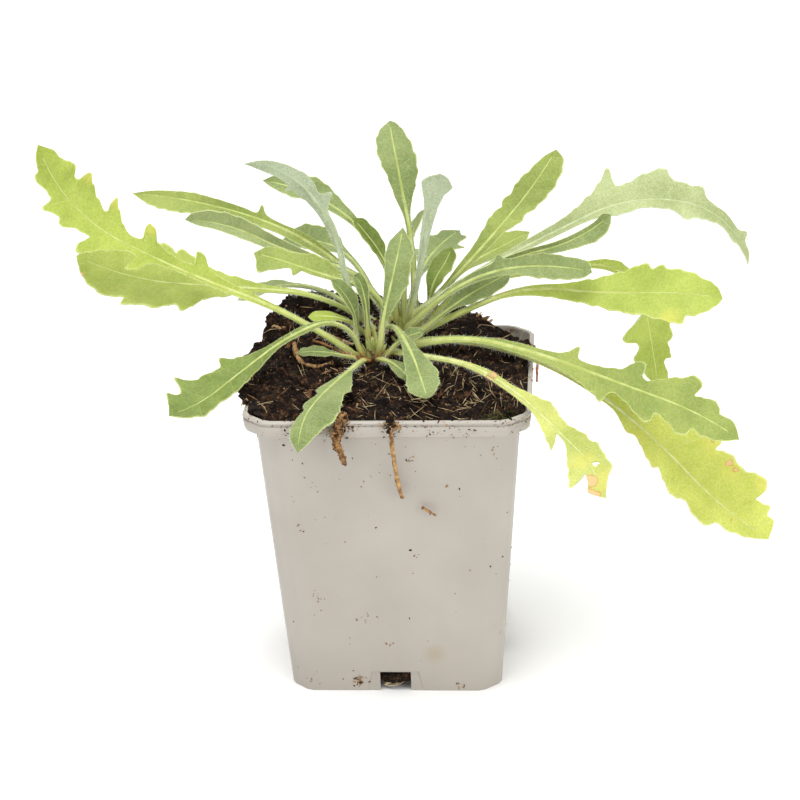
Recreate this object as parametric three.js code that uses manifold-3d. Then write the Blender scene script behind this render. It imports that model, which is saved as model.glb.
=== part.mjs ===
// A young blanket flower before its first bloom, in a square nursery pot.
// Millimetres, +Z up. The pot's sides run along X and Y, and its front faces -Y.
import * as THREE from 'three';
import { mergeVertices } from 'three/addons/utils/BufferGeometryUtils.js';
import Module from 'manifold-3d';

const wasm = await Module();
wasm.setup();

// Pot: a 9 cm square nursery pot with bevelled corners and a rim band that stands proud.
const potHeight = 98;
const rimHalfWidth = 45;
const rimCorner = 7.2;
const rimBandHeight = 5.2;
const rimSlopeHeight = 1.5;
const shoulderHeight = potHeight - rimBandHeight - rimSlopeHeight;
const baseHalfWidth = 34.2;
const baseCorner = 6;
const bodyTopHalfWidth = 41.3;
const wall = 1.3;
const lip = 1.5;
const footHeight = 3.5;
const floorThickness = 1.3;

// Drain openings: one in the middle of each side, and round holes in the floor.
const drainWidth = 10;
const drainHeight = 6.6;
const drainPanelWidth = 15.5;
const drainPanelFlare = 1.5;
const drainPanelDepth = 0.6;
const drainReach = 5;
const floorHoleRadius = 3.5;
const floorHoleSpacing = 17;

// Soil: pressed peat that stands above the rim, higher at the back, and bulges over the left rim.
const soilGap = 0.35;
const soilMiddle = 101;
const soilFrontSlope = 0.1;
const soilBackSlope = 0.19;
const soilLumps = 0.3;
const soilSegments = 44;
const soilBumps = [
  { x: -2, y: 10, spread: 13, rise: -2.5 },
  { x: -33, y: 38, spread: 10, rise: 3 },
  { x: 18, y: 38, spread: 9, rise: -2 },
  { x: 29, y: 34, spread: 7, rise: 1.6 },
  { x: 42, y: 41, spread: 9, rise: -9 },
  { x: 42, y: -5, spread: 12, rise: -2 },
  { x: -42, y: -12, spread: 14, rise: 1.6 },
  { x: -22, y: -40, spread: 12, rise: -1 },
  { x: 40, y: -38, spread: 10, rise: -2.5 },
];
const soilOverhang = 6;

// Crown: two short knobs on one rootstock, set in a plain hole in the soil.
const frontKnob = { x: -7, y: 4, z: 102, radius: 7, taper: 0.62, height: 8.4 };
const rearKnob = { x: 2, y: 16, z: 103, radius: 8.2, taper: 0.6, height: 9.6 };
const rootstockDepth = 9;
const neckDrop = 3;
const crownClearance = 0.4;

// Leaves.
const seatGap = 0.3;
const blade = 0.7;
const stalkThickness = 2;
const stalkHalfWidth = 1.5;
const stalkFlare = 1.25;
const tipThickness = 1;
const veinSlant = 0.45;
const foldStart = 0.2;
const ribStations = 13;

function toGeometry(positions, triangles) {
  const geometry = new THREE.BufferGeometry();
  geometry.setAttribute('position', new THREE.Float32BufferAttribute(positions, 3));
  geometry.setIndex(triangles);
  return geometry;
}

function toSolid(geometry) {
  const bare = geometry.clone();
  bare.deleteAttribute('normal');
  bare.deleteAttribute('uv');
  const merged = mergeVertices(bare, 1e-4);
  return new wasm.Manifold(new wasm.Mesh({
    numProp: 3,
    vertProperties: new Float32Array(merged.attributes.position.array),
    triVerts: new Uint32Array(merged.index.array),
  }));
}

function fromSolid(solid) {
  const mesh = solid.getMesh();
  return toGeometry(Array.from(mesh.vertProperties), Array.from(mesh.triVerts));
}

// Skin over a stack of rings with equal point counts, closed at both ends with a fan.
function loft(rings) {
  const count = rings[0].length;
  const positions = [];
  const triangles = [];
  for (const ring of rings) {
    for (const point of ring) positions.push(...point);
  }
  for (let r = 0; r + 1 < rings.length; r++) {
    for (let i = 0; i < count; i++) {
      const j = (i + 1) % count;
      const a = r * count + i;
      const b = r * count + j;
      triangles.push(a, b, b + count, a, b + count, a + count);
    }
  }
  for (const [first, flip] of [[0, true], [(rings.length - 1) * count, false]]) {
    const centre = new THREE.Vector3();
    for (let i = 0; i < count; i++) {
      centre.add(new THREE.Vector3(...positions.slice((first + i) * 3, (first + i) * 3 + 3)));
    }
    centre.divideScalar(count);
    const middle = positions.length / 3;
    positions.push(centre.x, centre.y, centre.z);
    for (let i = 0; i < count; i++) {
      const a = first + i;
      const b = first + (i + 1) % count;
      triangles.push(...(flip ? [middle, b, a] : [middle, a, b]));
    }
  }
  return toGeometry(positions, triangles);
}

// A square ring with bevelled corners, each bevel eased by two points at either end.
function squareRing(half, corner, z) {
  const ease = corner * 0.22;
  const side = half - corner;
  const points = [];
  for (let k = 0; k < 4; k++) {
    const turn = k * Math.PI / 2;
    const local = [
      [half, side - ease],
      [half - ease * 0.7, side + ease * 0.7],
      [side + ease * 0.7, half - ease * 0.7],
      [side - ease, half],
    ];
    for (const [x, y] of local) {
      points.push([
        x * Math.cos(turn) - y * Math.sin(turn),
        x * Math.sin(turn) + y * Math.cos(turn),
        z,
      ]);
    }
  }
  return points;
}

function bodyHalfWidth(z) {
  return baseHalfWidth + (bodyTopHalfWidth - baseHalfWidth) * z / shoulderHeight;
}

function bodyCorner(z) {
  return baseCorner + (rimCorner - baseCorner) * z / potHeight;
}

function potGeometry() {
  const bandFoot = potHeight - rimBandHeight;
  const floorTop = footHeight + floorThickness;
  const outer = (z) => squareRing(bodyHalfWidth(z), bodyCorner(z), z);
  const inner = (z) => squareRing(bodyHalfWidth(z) - wall, bodyCorner(z) - 0.5, z);
  const shell = loft([
    inner(footHeight),
    inner(0),
    outer(0),
    outer(shoulderHeight),
    squareRing(rimHalfWidth - 0.5, rimCorner, bandFoot),
    squareRing(rimHalfWidth, rimCorner, potHeight - 0.5),
    squareRing(rimHalfWidth - 0.4, rimCorner, potHeight),
    squareRing(rimHalfWidth - lip, rimCorner - 0.6, potHeight),
    squareRing(rimHalfWidth - lip - 0.3, rimCorner - 0.6, bandFoot + 0.6),
    inner(shoulderHeight + 0.4),
    inner(floorTop),
  ]);
  let solid = toSolid(shell);
  for (let k = 0; k < 4; k++) {
    const turn = k * Math.PI / 2;
    const opening = new THREE.BoxGeometry(drainWidth, drainReach, drainHeight * 2);
    opening.translate(0, -baseHalfWidth + drainReach / 2 - 1, 0).rotateZ(turn);
    const outline = new THREE.Shape([
      new THREE.Vector2(-drainPanelWidth / 2 - drainPanelFlare, -1),
      new THREE.Vector2(drainPanelWidth / 2 + drainPanelFlare, -1),
      new THREE.Vector2(drainPanelWidth / 2, drainHeight + 0.6),
      new THREE.Vector2(-drainPanelWidth / 2, drainHeight + 0.6),
    ]);
    const panel = new THREE.ExtrudeGeometry(outline, { depth: 4, bevelEnabled: false });
    panel.rotateX(Math.PI / 2).translate(0, -bodyHalfWidth(drainHeight) + drainPanelDepth, 0);
    panel.rotateZ(turn);
    const hole = new THREE.CylinderGeometry(floorHoleRadius, floorHoleRadius, 12, 16);
    hole.rotateX(Math.PI / 2).translate(floorHoleSpacing, floorHoleSpacing, footHeight).rotateZ(turn);
    for (const cutter of [opening, panel, hole]) solid = solid.subtract(toSolid(cutter));
  }
  return fromSolid(solid);
}

function soilHeight(x, y) {
  let z = soilMiddle + y * (y < 0 ? soilFrontSlope : soilBackSlope);
  z += soilLumps * Math.sin(x / 2.1 + 1) * Math.cos(y / 2.6) + soilLumps * Math.sin((x + y) / 3.7);
  for (const bump of soilBumps) {
    const distance = Math.hypot(x - bump.x, y - bump.y) / bump.spread;
    z += bump.rise * Math.exp(-distance * distance / 2);
  }
  return z;
}

// Points evenly round a square of the given half width with bevelled corners.
function soilRing(half, corner, height) {
  const points = [];
  for (let i = 0; i < soilSegments; i++) {
    const angle = (i + 0.5) / soilSegments * Math.PI * 2;
    const c = Math.cos(angle);
    const s = Math.sin(angle);
    const toSide = half / Math.max(Math.abs(c), Math.abs(s));
    const toBevel = (2 * half - corner) / (Math.abs(c) + Math.abs(s));
    const reach = Math.min(toSide, toBevel);
    points.push([reach * c, reach * s, height(reach * c, reach * s)]);
  }
  return points;
}

// How far the peat bulges out over the left rim.
function bulge(x, y) {
  return x < 0 && Math.abs(x) > Math.abs(y) ? soilOverhang * Math.exp(-(((y + 8) / 24) ** 2)) : 0;
}

// One of the rings round the top edge of the peat, where share runs from the rim's level to the heap.
function edgeRing(share, swell) {
  const level = potHeight + soilGap;
  return soilRing(rimHalfWidth - lip - soilGap, rimCorner, () => 0).map(([x, y]) => {
    const top = soilHeight(x, y) - 0.5;
    const over = bulge(x, y);
    const low = over > 0.5 ? level : Math.min(level, top - 1);
    const inward = over > 0.5 ? 0 : 0.8 * share;
    const grow = 1 - inward / rimHalfWidth;
    return [x * grow - over * swell, y * grow, low + (Math.max(top, low + 0.6) - low) * share];
  });
}

function soilGeometry() {
  const floorTop = footHeight + floorThickness + soilGap;
  const inside = (z) => soilRing(bodyHalfWidth(z) - wall - soilGap, bodyCorner(z), () => z);
  const rings = [
    inside(floorTop),
    inside(shoulderHeight + 0.4),
    soilRing(rimHalfWidth - lip - 0.3 - soilGap, rimCorner, () => potHeight - rimBandHeight + 1.4),
    edgeRing(0, 0),
    edgeRing(0.08, 0.9),
    edgeRing(0.5, 1.1),
    edgeRing(1, 0.8),
  ];
  for (const share of [0.92, 0.8, 0.64, 0.46, 0.28, 0.12]) {
    const half = (rimHalfWidth - lip) * share;
    rings.push(soilRing(half, rimCorner * share, soilHeight));
  }
  return fromSolid(toSolid(loft(rings)).subtract(crownSolid(crownClearance)));
}

function knobGeometry(knob, clearance) {
  const bottom = knob.radius + clearance;
  const top = knob.radius - knob.taper * knob.height + clearance;
  const profile = [
    new THREE.Vector2(0, -rootstockDepth - clearance),
    new THREE.Vector2(bottom * 0.55, -rootstockDepth - clearance),
    new THREE.Vector2(bottom * 0.9, -rootstockDepth * 0.5),
    new THREE.Vector2(bottom, 0),
    new THREE.Vector2(top, knob.height + clearance),
    new THREE.Vector2(0, knob.height + 0.3 + clearance),
  ];
  const geometry = new THREE.LatheGeometry(profile, 20);
  geometry.rotateX(Math.PI / 2).translate(knob.x, knob.y, knob.z);
  return geometry;
}

function crownSolid(clearance) {
  const neck = new THREE.SphereGeometry(frontKnob.radius * 0.8 + clearance, 14, 8);
  neck.scale(1, 1, 0.7).translate(
    (frontKnob.x + rearKnob.x) / 2,
    (frontKnob.y + rearKnob.y) / 2,
    (frontKnob.z + rearKnob.z) / 2 - neckDrop,
  );
  return toSolid(knobGeometry(frontKnob, clearance))
    .add(toSolid(knobGeometry(rearKnob, clearance)))
    .add(toSolid(neck));
}

// Value at a share of the way along a list of evenly spaced settings.
function along(list, share) {
  const place = Math.min(Math.max(share, 0), 1) * (list.length - 1);
  const index = Math.min(Math.floor(place), list.length - 2);
  return list[index] + (list[index + 1] - list[index]) * (place - index);
}

const radians = (degrees) => degrees * Math.PI / 180;

// The turned frame of a leaf at a share of its length: forward, to its left, and up through it.
function leafFrame(leaf, share) {
  const heading = radians(along(leaf.heading, share));
  const rise = radians(along(leaf.rise, share));
  const roll = radians(along(leaf.roll, share));
  const forward = new THREE.Vector3(
    Math.cos(rise) * Math.cos(heading),
    Math.cos(rise) * Math.sin(heading),
    Math.sin(rise),
  );
  const level = new THREE.Vector3(-Math.sin(heading), Math.cos(heading), 0);
  const above = forward.clone().cross(level);
  const side = level.clone().multiplyScalar(Math.cos(roll)).addScaledVector(above, Math.sin(roll));
  const up = above.clone().multiplyScalar(Math.cos(roll)).addScaledVector(level, -Math.sin(roll));
  return { forward, side, up };
}

// Foot of a stalk: beside its knob, far enough out for the cut end to clear the knob.
function leafBase(leaf) {
  const { knob, around, level, stalk = stalkHalfWidth } = leaf;
  const steep = Math.abs(Math.sin(radians(leaf.rise[0])));
  const turned = Math.abs(Math.sin(radians(leaf.heading[0] - around)));
  const standOff = seatGap + steep * stalkThickness / 2 + turned * stalk * stalkFlare;
  const radius = knob.radius - knob.taper * level + standOff;
  const angle = radians(around);
  return new THREE.Vector3(
    knob.x + radius * Math.cos(angle),
    knob.y + radius * Math.sin(angle),
    knob.z + level,
  );
}

// The midrib, walked in small steps from the crown to the tip.
function leafSpine(leaf) {
  const steps = 120;
  const points = [leafBase(leaf)];
  for (let i = 0; i < steps; i++) {
    const { forward } = leafFrame(leaf, (i + 0.5) / steps);
    points.push(points[i].clone().addScaledVector(forward, leaf.length / steps));
  }
  return (share) => {
    const place = Math.min(share, 1) * steps;
    const index = Math.min(Math.floor(place), steps - 1);
    return points[index].clone().lerp(points[index + 1], place - index);
  };
}

// Margin of a plain leaf: a narrow stalk, an oval blade and small forward teeth.
function ovalMargin({ from, widest, reach, teeth = 0, bite = 0.9 }) {
  const points = [];
  const steps = Math.max(teeth * 2, 7);
  for (let i = 1; i < steps; i++) {
    const share = from + (1 - from) * i / steps;
    const half = share < widest
      ? Math.sin((share - from) / (widest - from) * Math.PI / 2) ** 1.3
      : Math.sqrt(Math.max(1 - ((share - widest) / (1 - widest)) ** 2.4, 0));
    const tooth = teeth > 0 && i % 2 === 0 ? bite : 0;
    points.push([share, Math.max(reach * half - tooth, 1.2)]);
  }
  return points;
}

function margin(leaf, list) {
  const stalk = leaf.stalk ?? stalkHalfWidth;
  const blades = Array.isArray(list) ? list : ovalMargin(list);
  const start = blades[0][0];
  return [[0, stalk * stalkFlare], [start * 0.45, stalk], ...blades];
}

// A leaf is one closed thin body: an upper and a lower skin with the same triangles, and an edge.
function leafGeometry(leaf) {
  const spine = leafSpine(leaf);
  const fold = Math.tan(radians(leaf.fold ?? 12));
  const wave = leaf.wave ?? 0.6;
  const positions = [];
  const triangles = [];
  const place = (share, reach, offset) => {
    const { side, up } = leafFrame(leaf, share);
    const out = Math.abs(reach);
    const ripple = wave * out / 8 * Math.sin(share * 19 + (reach > 0 ? 0 : 2));
    const point = spine(share).addScaledVector(side, reach);
    point.addScaledVector(up, out * fold * Math.min(share / foldStart, 1) + ripple + offset);
    positions.push(point.x, point.y, point.z);
    return positions.length / 3 - 1;
  };
  const pair = (share, reach, thickness) => [
    place(share, reach, thickness / 2),
    place(share, reach, -thickness / 2),
  ];
  const ribs = [];
  for (let i = 0; i <= ribStations; i++) {
    const share = i / (ribStations + 0.6);
    const thickness = stalkThickness + (tipThickness - stalkThickness) * share;
    ribs.push({ key: share, ids: pair(share, 0, thickness) });
  }
  const tip = { key: 1, ids: pair(1, 0, blade) };
  for (const turn of [1, -1]) {
    let key = 0;
    const edge = margin(leaf, turn > 0 ? leaf.left : leaf.right).map(([share, reach]) => {
      key = Math.max(key, share - veinSlant * reach / leaf.length);
      const thickness = share < 0.05 ? 1.2 : blade;
      return { key, ids: pair(share, reach * turn, thickness) };
    });
    edge.push(tip);
    const face = (a, b, c) => {
      triangles.push(...(turn > 0 ? [a[0], b[0], c[0]] : [a[0], c[0], b[0]]));
      triangles.push(...(turn > 0 ? [a[1], c[1], b[1]] : [a[1], b[1], c[1]]));
    };
    const wallFace = (a, b) => {
      triangles.push(...(turn > 0 ? [a[1], b[0], b[1]] : [a[1], b[1], b[0]]));
      triangles.push(...(turn > 0 ? [a[1], a[0], b[0]] : [a[1], b[0], a[0]]));
    };
    let r = 0;
    let e = 0;
    while (r + 1 < ribs.length || e + 1 < edge.length) {
      const ribNext = r + 1 < ribs.length ? ribs[r + 1].key : 2;
      const edgeNext = e + 1 < edge.length ? edge[e + 1].key : 2;
      if (ribNext <= edgeNext) {
        face(ribs[r].ids, ribs[r + 1].ids, edge[e].ids);
        r++;
      } else {
        face(ribs[r].ids, edge[e + 1].ids, edge[e].ids);
        wallFace(edge[e].ids, edge[e + 1].ids);
        e++;
      }
    }
    wallFace(ribs[0].ids, edge[0].ids);
  }
  return toGeometry(positions, triangles);
}

const leaves = [
  {
    name: 'leaf_left_lobed', knob: frontKnob, around: 186, level: 1.5, length: 124,
    heading: [186, 186, 185], rise: [39, 24, 31, 77], roll: [-40, -50, -60],
    left: [[0.355, 1.5], [0.515, 1.2], [0.575, 2.5], [0.605, 7], [0.63, 8], [0.615, 2.5],
      [0.64, 2], [0.705, 7], [0.745, 12], [0.755, 10], [0.74, 5], [0.775, 5.5], [0.815, 8.5],
      [0.825, 6.5], [0.865, 9], [0.87, 4.5], [0.935, 5.5], [0.94, 3.5], [0.97, 2.5]],
    right: [[0.3, 1.5], [0.42, 3.5], [0.46, 8], [0.475, 7.5], [0.47, 3.5], [0.52, 3], [0.58, 5],
      [0.6, 8], [0.62, 9], [0.625, 7], [0.62, 4], [0.635, 3], [0.67, 4], [0.72, 9], [0.74, 11],
      [0.745, 8.5], [0.74, 5.5], [0.77, 6.5], [0.82, 9], [0.86, 10.5], [0.865, 6], [0.9, 7.5],
      [0.92, 7.5], [0.935, 5.5], [0.97, 4]],
  },
  {
    name: 'leaf_left_broad', knob: rearKnob, around: 191, level: 3.0, length: 105,
    heading: [191, 183, 170], rise: [49, 7, 4, 25], roll: [-10, -25, -30], fold: 6,
    left: [[0.385, 1.5], [0.515, 4.5], [0.585, 7], [0.64, 13], [0.66, 10.5], [0.68, 11],
      [0.72, 14], [0.76, 13], [0.81, 14], [0.81, 11], [0.865, 11], [0.91, 9.5], [0.95, 6.5],
      [0.98, 3]],
    right: [[0.39, 2], [0.475, 4.5], [0.565, 7], [0.62, 10], [0.685, 14], [0.695, 12.5],
      [0.72, 15], [0.77, 16.5], [0.83, 16], [0.925, 11], [0.98, 5.5]],
  },
  {
    name: 'leaf_left_long', knob: rearKnob, around: 127, level: 5.0, length: 119,
    heading: [127, 152, 157], rise: [30, 20, 6, -2], roll: [-20, -45, -50], fold: 18,
    left: [[0.39, 2.5], [0.51, 2.5], [0.61, 3.5], [0.675, 4], [0.745, 5], [0.835, 5.5], [0.925, 4]],
    right: [[0.4, 2], [0.49, 1.5], [0.545, 2.5], [0.565, 5], [0.57, 2], [0.615, 2], [0.705, 2.5],
      [0.795, 3], [0.855, 2.5], [0.935, 1.5]],
  },
  {
    name: 'leaf_left_narrow', knob: rearKnob, around: 154, level: 6.5, length: 79,
    heading: [151, 174, 169], rise: [72, 11, 26, -2], roll: [-10, -60, -75], fold: 26,
    left: [[0.52, 1.5], [0.63, 2], [0.74, 2.5], [0.865, 2], [0.945, 1.5]],
    right: [[0.545, 2.5], [0.645, 3], [0.77, 4], [0.855, 4], [0.915, 3.5], [0.97, 2]],
  },
  {
    name: 'leaf_left_short', knob: rearKnob, around: 189, level: 7.5, length: 52,
    heading: [189, 170, 175], rise: [88, 13, 18, 14], roll: [-5, -30, -40], fold: 8,
    left: [[0.505, 1.2], [0.63, 1.5], [0.68, 1.5], [0.71, 5], [0.745, 2], [0.81, 3.5], [0.94, 6.5],
      [0.97, 2.5]],
    right: [[0.45, 3.5], [0.6, 6], [0.735, 4.5], [0.92, 3.5]],
  },
  {
    name: 'leaf_left_silver', knob: frontKnob, around: 90, level: 6.5, length: 75,
    heading: [171, 196], rise: [53, 82, 55, 4], roll: [50, 80], fold: 10,
    left: [[0.5, 1.5], [0.58, 2], [0.63, 6], [0.655, 2.5], [0.715, 3.5], [0.81, 3], [0.91, 2]],
    right: [[0.525, 2], [0.6, 2.5], [0.68, 3.5], [0.74, 4], [0.755, 5.5], [0.78, 3], [0.83, 2.5],
      [0.915, 2]],
  },
  {
    name: 'leaf_left_arched', knob: rearKnob, around: 97, level: 6, length: 71,
    heading: [150, 161], rise: [84, 52, 22, 4], roll: [0, -40], fold: 14,
    left: [[0.51, 1.5], [0.63, 2.5], [0.76, 3.5], [0.82, 4], [0.945, 2]],
    right: [[0.54, 2.5], [0.62, 3.5], [0.73, 6], [0.835, 6], [0.915, 4]],
  },
  {
    name: 'leaf_left_folded', knob: rearKnob, around: 122, level: 8.5, length: 35,
    heading: [122, 165], rise: [87, 69, 48, 46], roll: [0, -40], fold: 30,
    left: { from: 0.4, widest: 0.72, reach: 2.8, teeth: 4, bite: 0.4 },
    right: { from: 0.4, widest: 0.75, reach: 3.2, teeth: 4, bite: 0.4 },
  },
  {
    name: 'leaf_left_slender', knob: rearKnob, around: 133, level: 2.5, length: 59,
    heading: [147, 173], rise: [14, 26, -8, -30], roll: [-5, -20], stalk: 1.2,
    left: { from: 0.6, widest: 0.82, reach: 4 },
    right: { from: 0.6, widest: 0.82, reach: 4 },
  },
  {
    name: 'leaf_back_left', knob: rearKnob, around: 108, level: 3.0, length: 75,
    heading: [115, 141], rise: [6, 35, -1, -16], roll: [0, -30], stalk: 1.3,
    left: { from: 0.5, widest: 0.8, reach: 7 },
    right: { from: 0.5, widest: 0.8, reach: 7 },
  },
  {
    name: 'leaf_new_left', knob: frontKnob, around: 151, level: 4.0, length: 23,
    heading: [156, 168], rise: [88, 84, 54, 43], roll: [-20, -40], fold: 38, stalk: 1.2,
    left: { from: 0.3, widest: 0.65, reach: 2.6 },
    right: { from: 0.3, widest: 0.65, reach: 2.6 },
  },
  {
    name: 'leaf_new_upright', knob: frontKnob, around: 118, level: 8.0, length: 20,
    heading: [112, 125], rise: [88, 80, 59, -4], roll: [-10, -30], fold: 38, stalk: 1.2,
    left: { from: 0.35, widest: 0.7, reach: 2 },
    right: { from: 0.35, widest: 0.7, reach: 2 },
  },
  {
    name: 'leaf_front_left', knob: frontKnob, around: 225, level: 5.0, length: 76,
    heading: [203, 222], rise: [76, -12, -27, -26, 2], roll: [-20, -25, -10], fold: 8,
    left: [[0.3, 1.5], [0.43, 1.5], [0.565, 3.5], [0.68, 5.5], [0.74, 6.5], [0.785, 5.5],
      [0.885, 7], [0.905, 5.5], [0.95, 5], [0.985, 2.5]],
    right: [[0.285, 1.5], [0.385, 1.5], [0.49, 2], [0.615, 5.5], [0.655, 8.5], [0.675, 6],
      [0.74, 7.5], [0.81, 10.5], [0.845, 14], [0.875, 7.5], [0.905, 7.5], [0.935, 9], [0.955, 6]],
  },
  {
    name: 'leaf_front_over_rim', knob: frontKnob, around: 244, level: 0.5, length: 57,
    heading: [248, 257], rise: [-1, -2, -1, -11, -77], roll: [0, -5], fold: 6,
    left: [[0.24, 3], [0.47, 8], [0.52, 7], [0.675, 9.5], [0.8, 10], [0.87, 6], [0.925, 4]],
    right: [[0.32, 1.5], [0.485, 3], [0.53, 1.5], [0.7, 2.5], [0.73, 1.5], [0.86, 3], [0.92, 3]],
  },
  {
    name: 'leaf_front_round', knob: frontKnob, around: 75, level: 4.1, length: 51,
    heading: [306, 280], rise: [61, -18, -26, -7], roll: [10, 5], fold: 6,
    left: [[0.405, 1.5], [0.55, 3], [0.655, 4.5], [0.745, 5.5], [0.825, 5.5], [0.905, 4], [0.965, 2]],
    right: [[0.425, 1.5], [0.62, 3.5], [0.75, 4.5], [0.915, 5], [0.965, 3]],
  },
  {
    name: 'leaf_front_small_left', knob: frontKnob, around: 215, level: 1.0, length: 19,
    heading: [207, 186], rise: [15, 19, 7, -8], roll: [-15, -20], fold: 8, stalk: 1.2,
    left: { from: 0.25, widest: 0.6, reach: 2.6, teeth: 4, bite: 0.4 },
    right: { from: 0.25, widest: 0.6, reach: 2.8, teeth: 4, bite: 0.4 },
  },
  {
    name: 'leaf_low_left', knob: rearKnob, around: 207, level: 0.5, length: 26,
    heading: [201, 178], rise: [46, 44, 10, -6], roll: [-25, -30], fold: 8, stalk: 1.2,
    left: { from: 0.55, widest: 0.78, reach: 2.6 },
    right: { from: 0.55, widest: 0.78, reach: 2.2 },
  },
  {
    name: 'leaf_front_low', knob: frontKnob, around: 299, level: 1.0, length: 18,
    heading: [298, 312], rise: [10, 5, -13, -42], roll: [20, 20], stalk: 1.2,
    left: { from: 0.3, widest: 0.7, reach: 2.4 },
    right: { from: 0.3, widest: 0.7, reach: 2.4 },
  },
  {
    name: 'leaf_front_small_right', knob: frontKnob, around: 324, level: 3.0, length: 13,
    heading: [9, 10], rise: [56, 32, 19, 11], roll: [25, 20], fold: 10, stalk: 1.2,
    left: { from: 0.2, widest: 0.65, reach: 3.2, teeth: 4, bite: 0.4 },
    right: { from: 0.2, widest: 0.65, reach: 3.2, teeth: 4, bite: 0.4 },
  },
  {
    name: 'leaf_middle_oval', knob: frontKnob, around: 300, level: 6.0, length: 40,
    heading: [61, 80], rise: [79, 57, 48, 44], roll: [0, 0], fold: 8,
    left: [[0.2, 1.2], [0.305, 1.2], [0.515, 2.5], [0.65, 3.5], [0.79, 4], [0.89, 3], [0.945, 1.5]],
    right: [[0.2, 1.5], [0.335, 4], [0.425, 5], [0.515, 6], [0.7, 5.5], [0.81, 5], [0.87, 3.5],
      [0.945, 1.5]],
  },
  {
    name: 'leaf_tall_oval', knob: rearKnob, around: 49, level: 7.5, length: 67,
    heading: [87, 126, 96], rise: [88, 76, 67, 27], roll: [-15, -15], fold: 6,
    left: [[0.49, 1.2], [0.57, 2.5], [0.69, 4], [0.785, 5.5], [0.875, 5.5], [0.945, 4], [0.98, 1.5]],
    right: [[0.49, 1.2], [0.59, 3.5], [0.66, 5.5], [0.725, 6.5], [0.825, 6], [0.915, 4], [0.97, 2]],
  },
  {
    name: 'leaf_tall_silver', knob: rearKnob, around: 303, level: 9.0, length: 56,
    heading: [303, 320], rise: [60, 71, 80, 59], roll: [-20, -20], fold: 8, stalk: 1.3,
    left: [[0.5, 1.2], [0.585, 1.5], [0.75, 3.5], [0.825, 4.5], [0.875, 6.5], [0.91, 6.5],
      [0.95, 4.5], [0.98, 2.5]],
    right: [[0.5, 1.5], [0.65, 1.5], [0.75, 1.5], [0.83, 2.5], [0.89, 4], [0.935, 4.5], [0.965, 3.5]],
  },
  {
    name: 'leaf_tall_small', knob: rearKnob, around: 86, level: 7.5, length: 38,
    heading: [80, 56], rise: [86, 76, 51, 23], roll: [-20, -20], fold: 20, stalk: 1.2,
    left: { from: 0.45, widest: 0.75, reach: 2.4, teeth: 4, bite: 0.4 },
    right: { from: 0.45, widest: 0.75, reach: 2.4, teeth: 4, bite: 0.4 },
  },
  {
    name: 'leaf_middle_bright', knob: rearKnob, around: 40, level: 4.5, length: 29,
    heading: [41, 51], rise: [16, 84, 39, 58], roll: [10, 10], fold: 12,
    left: { from: 0.3, widest: 0.7, reach: 4.4, teeth: 4, bite: 0.4 },
    right: { from: 0.3, widest: 0.7, reach: 4, teeth: 4, bite: 0.4 },
  },
  {
    name: 'leaf_back_lobed', knob: rearKnob, around: 83, level: 2.5, length: 55,
    heading: [86, 58], rise: [39, 23, 13, 3], roll: [0, 10], stalk: 1.3,
    left: [[0.5, 2], [0.62, 7], [0.66, 3.5], [0.775, 8], [0.815, 4.5], [0.91, 4]],
    right: [[0.475, 2], [0.595, 8], [0.645, 3.5], [0.755, 9], [0.815, 5], [0.895, 6], [0.93, 3]],
  },
  {
    name: 'leaf_right_tall', knob: rearKnob, around: 74, level: 5.0, length: 78,
    heading: [37, 38, 39], rise: [25, 36, 38, 50], roll: [30, 35], fold: 8,
    left: [[0.325, 2], [0.43, 2.5], [0.53, 4], [0.61, 5], [0.65, 4], [0.67, 5], [0.72, 4.5],
      [0.79, 5], [0.865, 4], [0.945, 2.5]],
    right: [[0.35, 1.2], [0.45, 2], [0.56, 2.5], [0.65, 5], [0.665, 4.5], [0.76, 6], [0.85, 6.5],
      [0.92, 6], [0.975, 4]],
  },
  {
    name: 'leaf_right_short', knob: rearKnob, around: 55, level: 2.5, length: 64,
    heading: [65, 41], rise: [27, 21, 7, 12], roll: [20, 30], fold: 8,
    left: { from: 0.42, widest: 0.78, reach: 4.4 },
    right: { from: 0.42, widest: 0.78, reach: 4 },
  },
  {
    name: 'leaf_right_arching', knob: rearKnob, around: 14, level: 8.6, length: 131,
    heading: [11, 10, 9], rise: [35, 25, 24, -15, -78], roll: [35, 50, 45, 30], fold: 16,
    left: [[0.345, 2], [0.45, 3], [0.525, 6], [0.555, 9], [0.58, 12.5], [0.585, 6.5], [0.6, 6],
      [0.645, 8], [0.675, 9.5], [0.7, 10], [0.71, 7], [0.755, 6], [0.785, 6], [0.805, 3.5],
      [0.87, 3], [0.91, 2.5], [0.935, 5], [0.945, 2.5], [0.975, 2]],
    right: [[0.39, 1.5], [0.5, 2], [0.58, 4.5], [0.635, 3.5], [0.72, 5], [0.745, 7.5],
      [0.795, 5.5], [0.875, 3.5], [0.905, 6], [0.935, 4], [0.975, 2.5]],
  },
  {
    name: 'leaf_right_twisted', knob: rearKnob, around: 343, level: 6.4, length: 74,
    heading: [-6, 13], rise: [57, 27, 12, 40], roll: [60, 65, 60], fold: 26, stalk: 1.3,
    left: [[0.545, 1.5], [0.74, 1.5], [0.86, 1.5], [0.93, 1.5], [0.97, 2]],
    right: [[0.645, 1.5], [0.795, 3], [0.86, 4], [0.9, 4.5], [0.96, 3]],
  },
  {
    name: 'leaf_right_blue', knob: rearKnob, around: 291, level: 7.0, length: 66,
    heading: [0, -6], rise: [46, 31, 5, -12], roll: [45, 50], fold: 14,
    left: [[0.42, 2], [0.52, 3], [0.56, 5.5], [0.58, 3.5], [0.75, 4], [0.9, 3.5], [0.97, 3]],
    right: [[0.42, 1.5], [0.605, 2.5], [0.75, 4.5], [0.92, 4], [0.97, 2.5]],
  },
  {
    name: 'leaf_right_dark', knob: rearKnob, around: 308, level: 4.5, length: 37,
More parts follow.
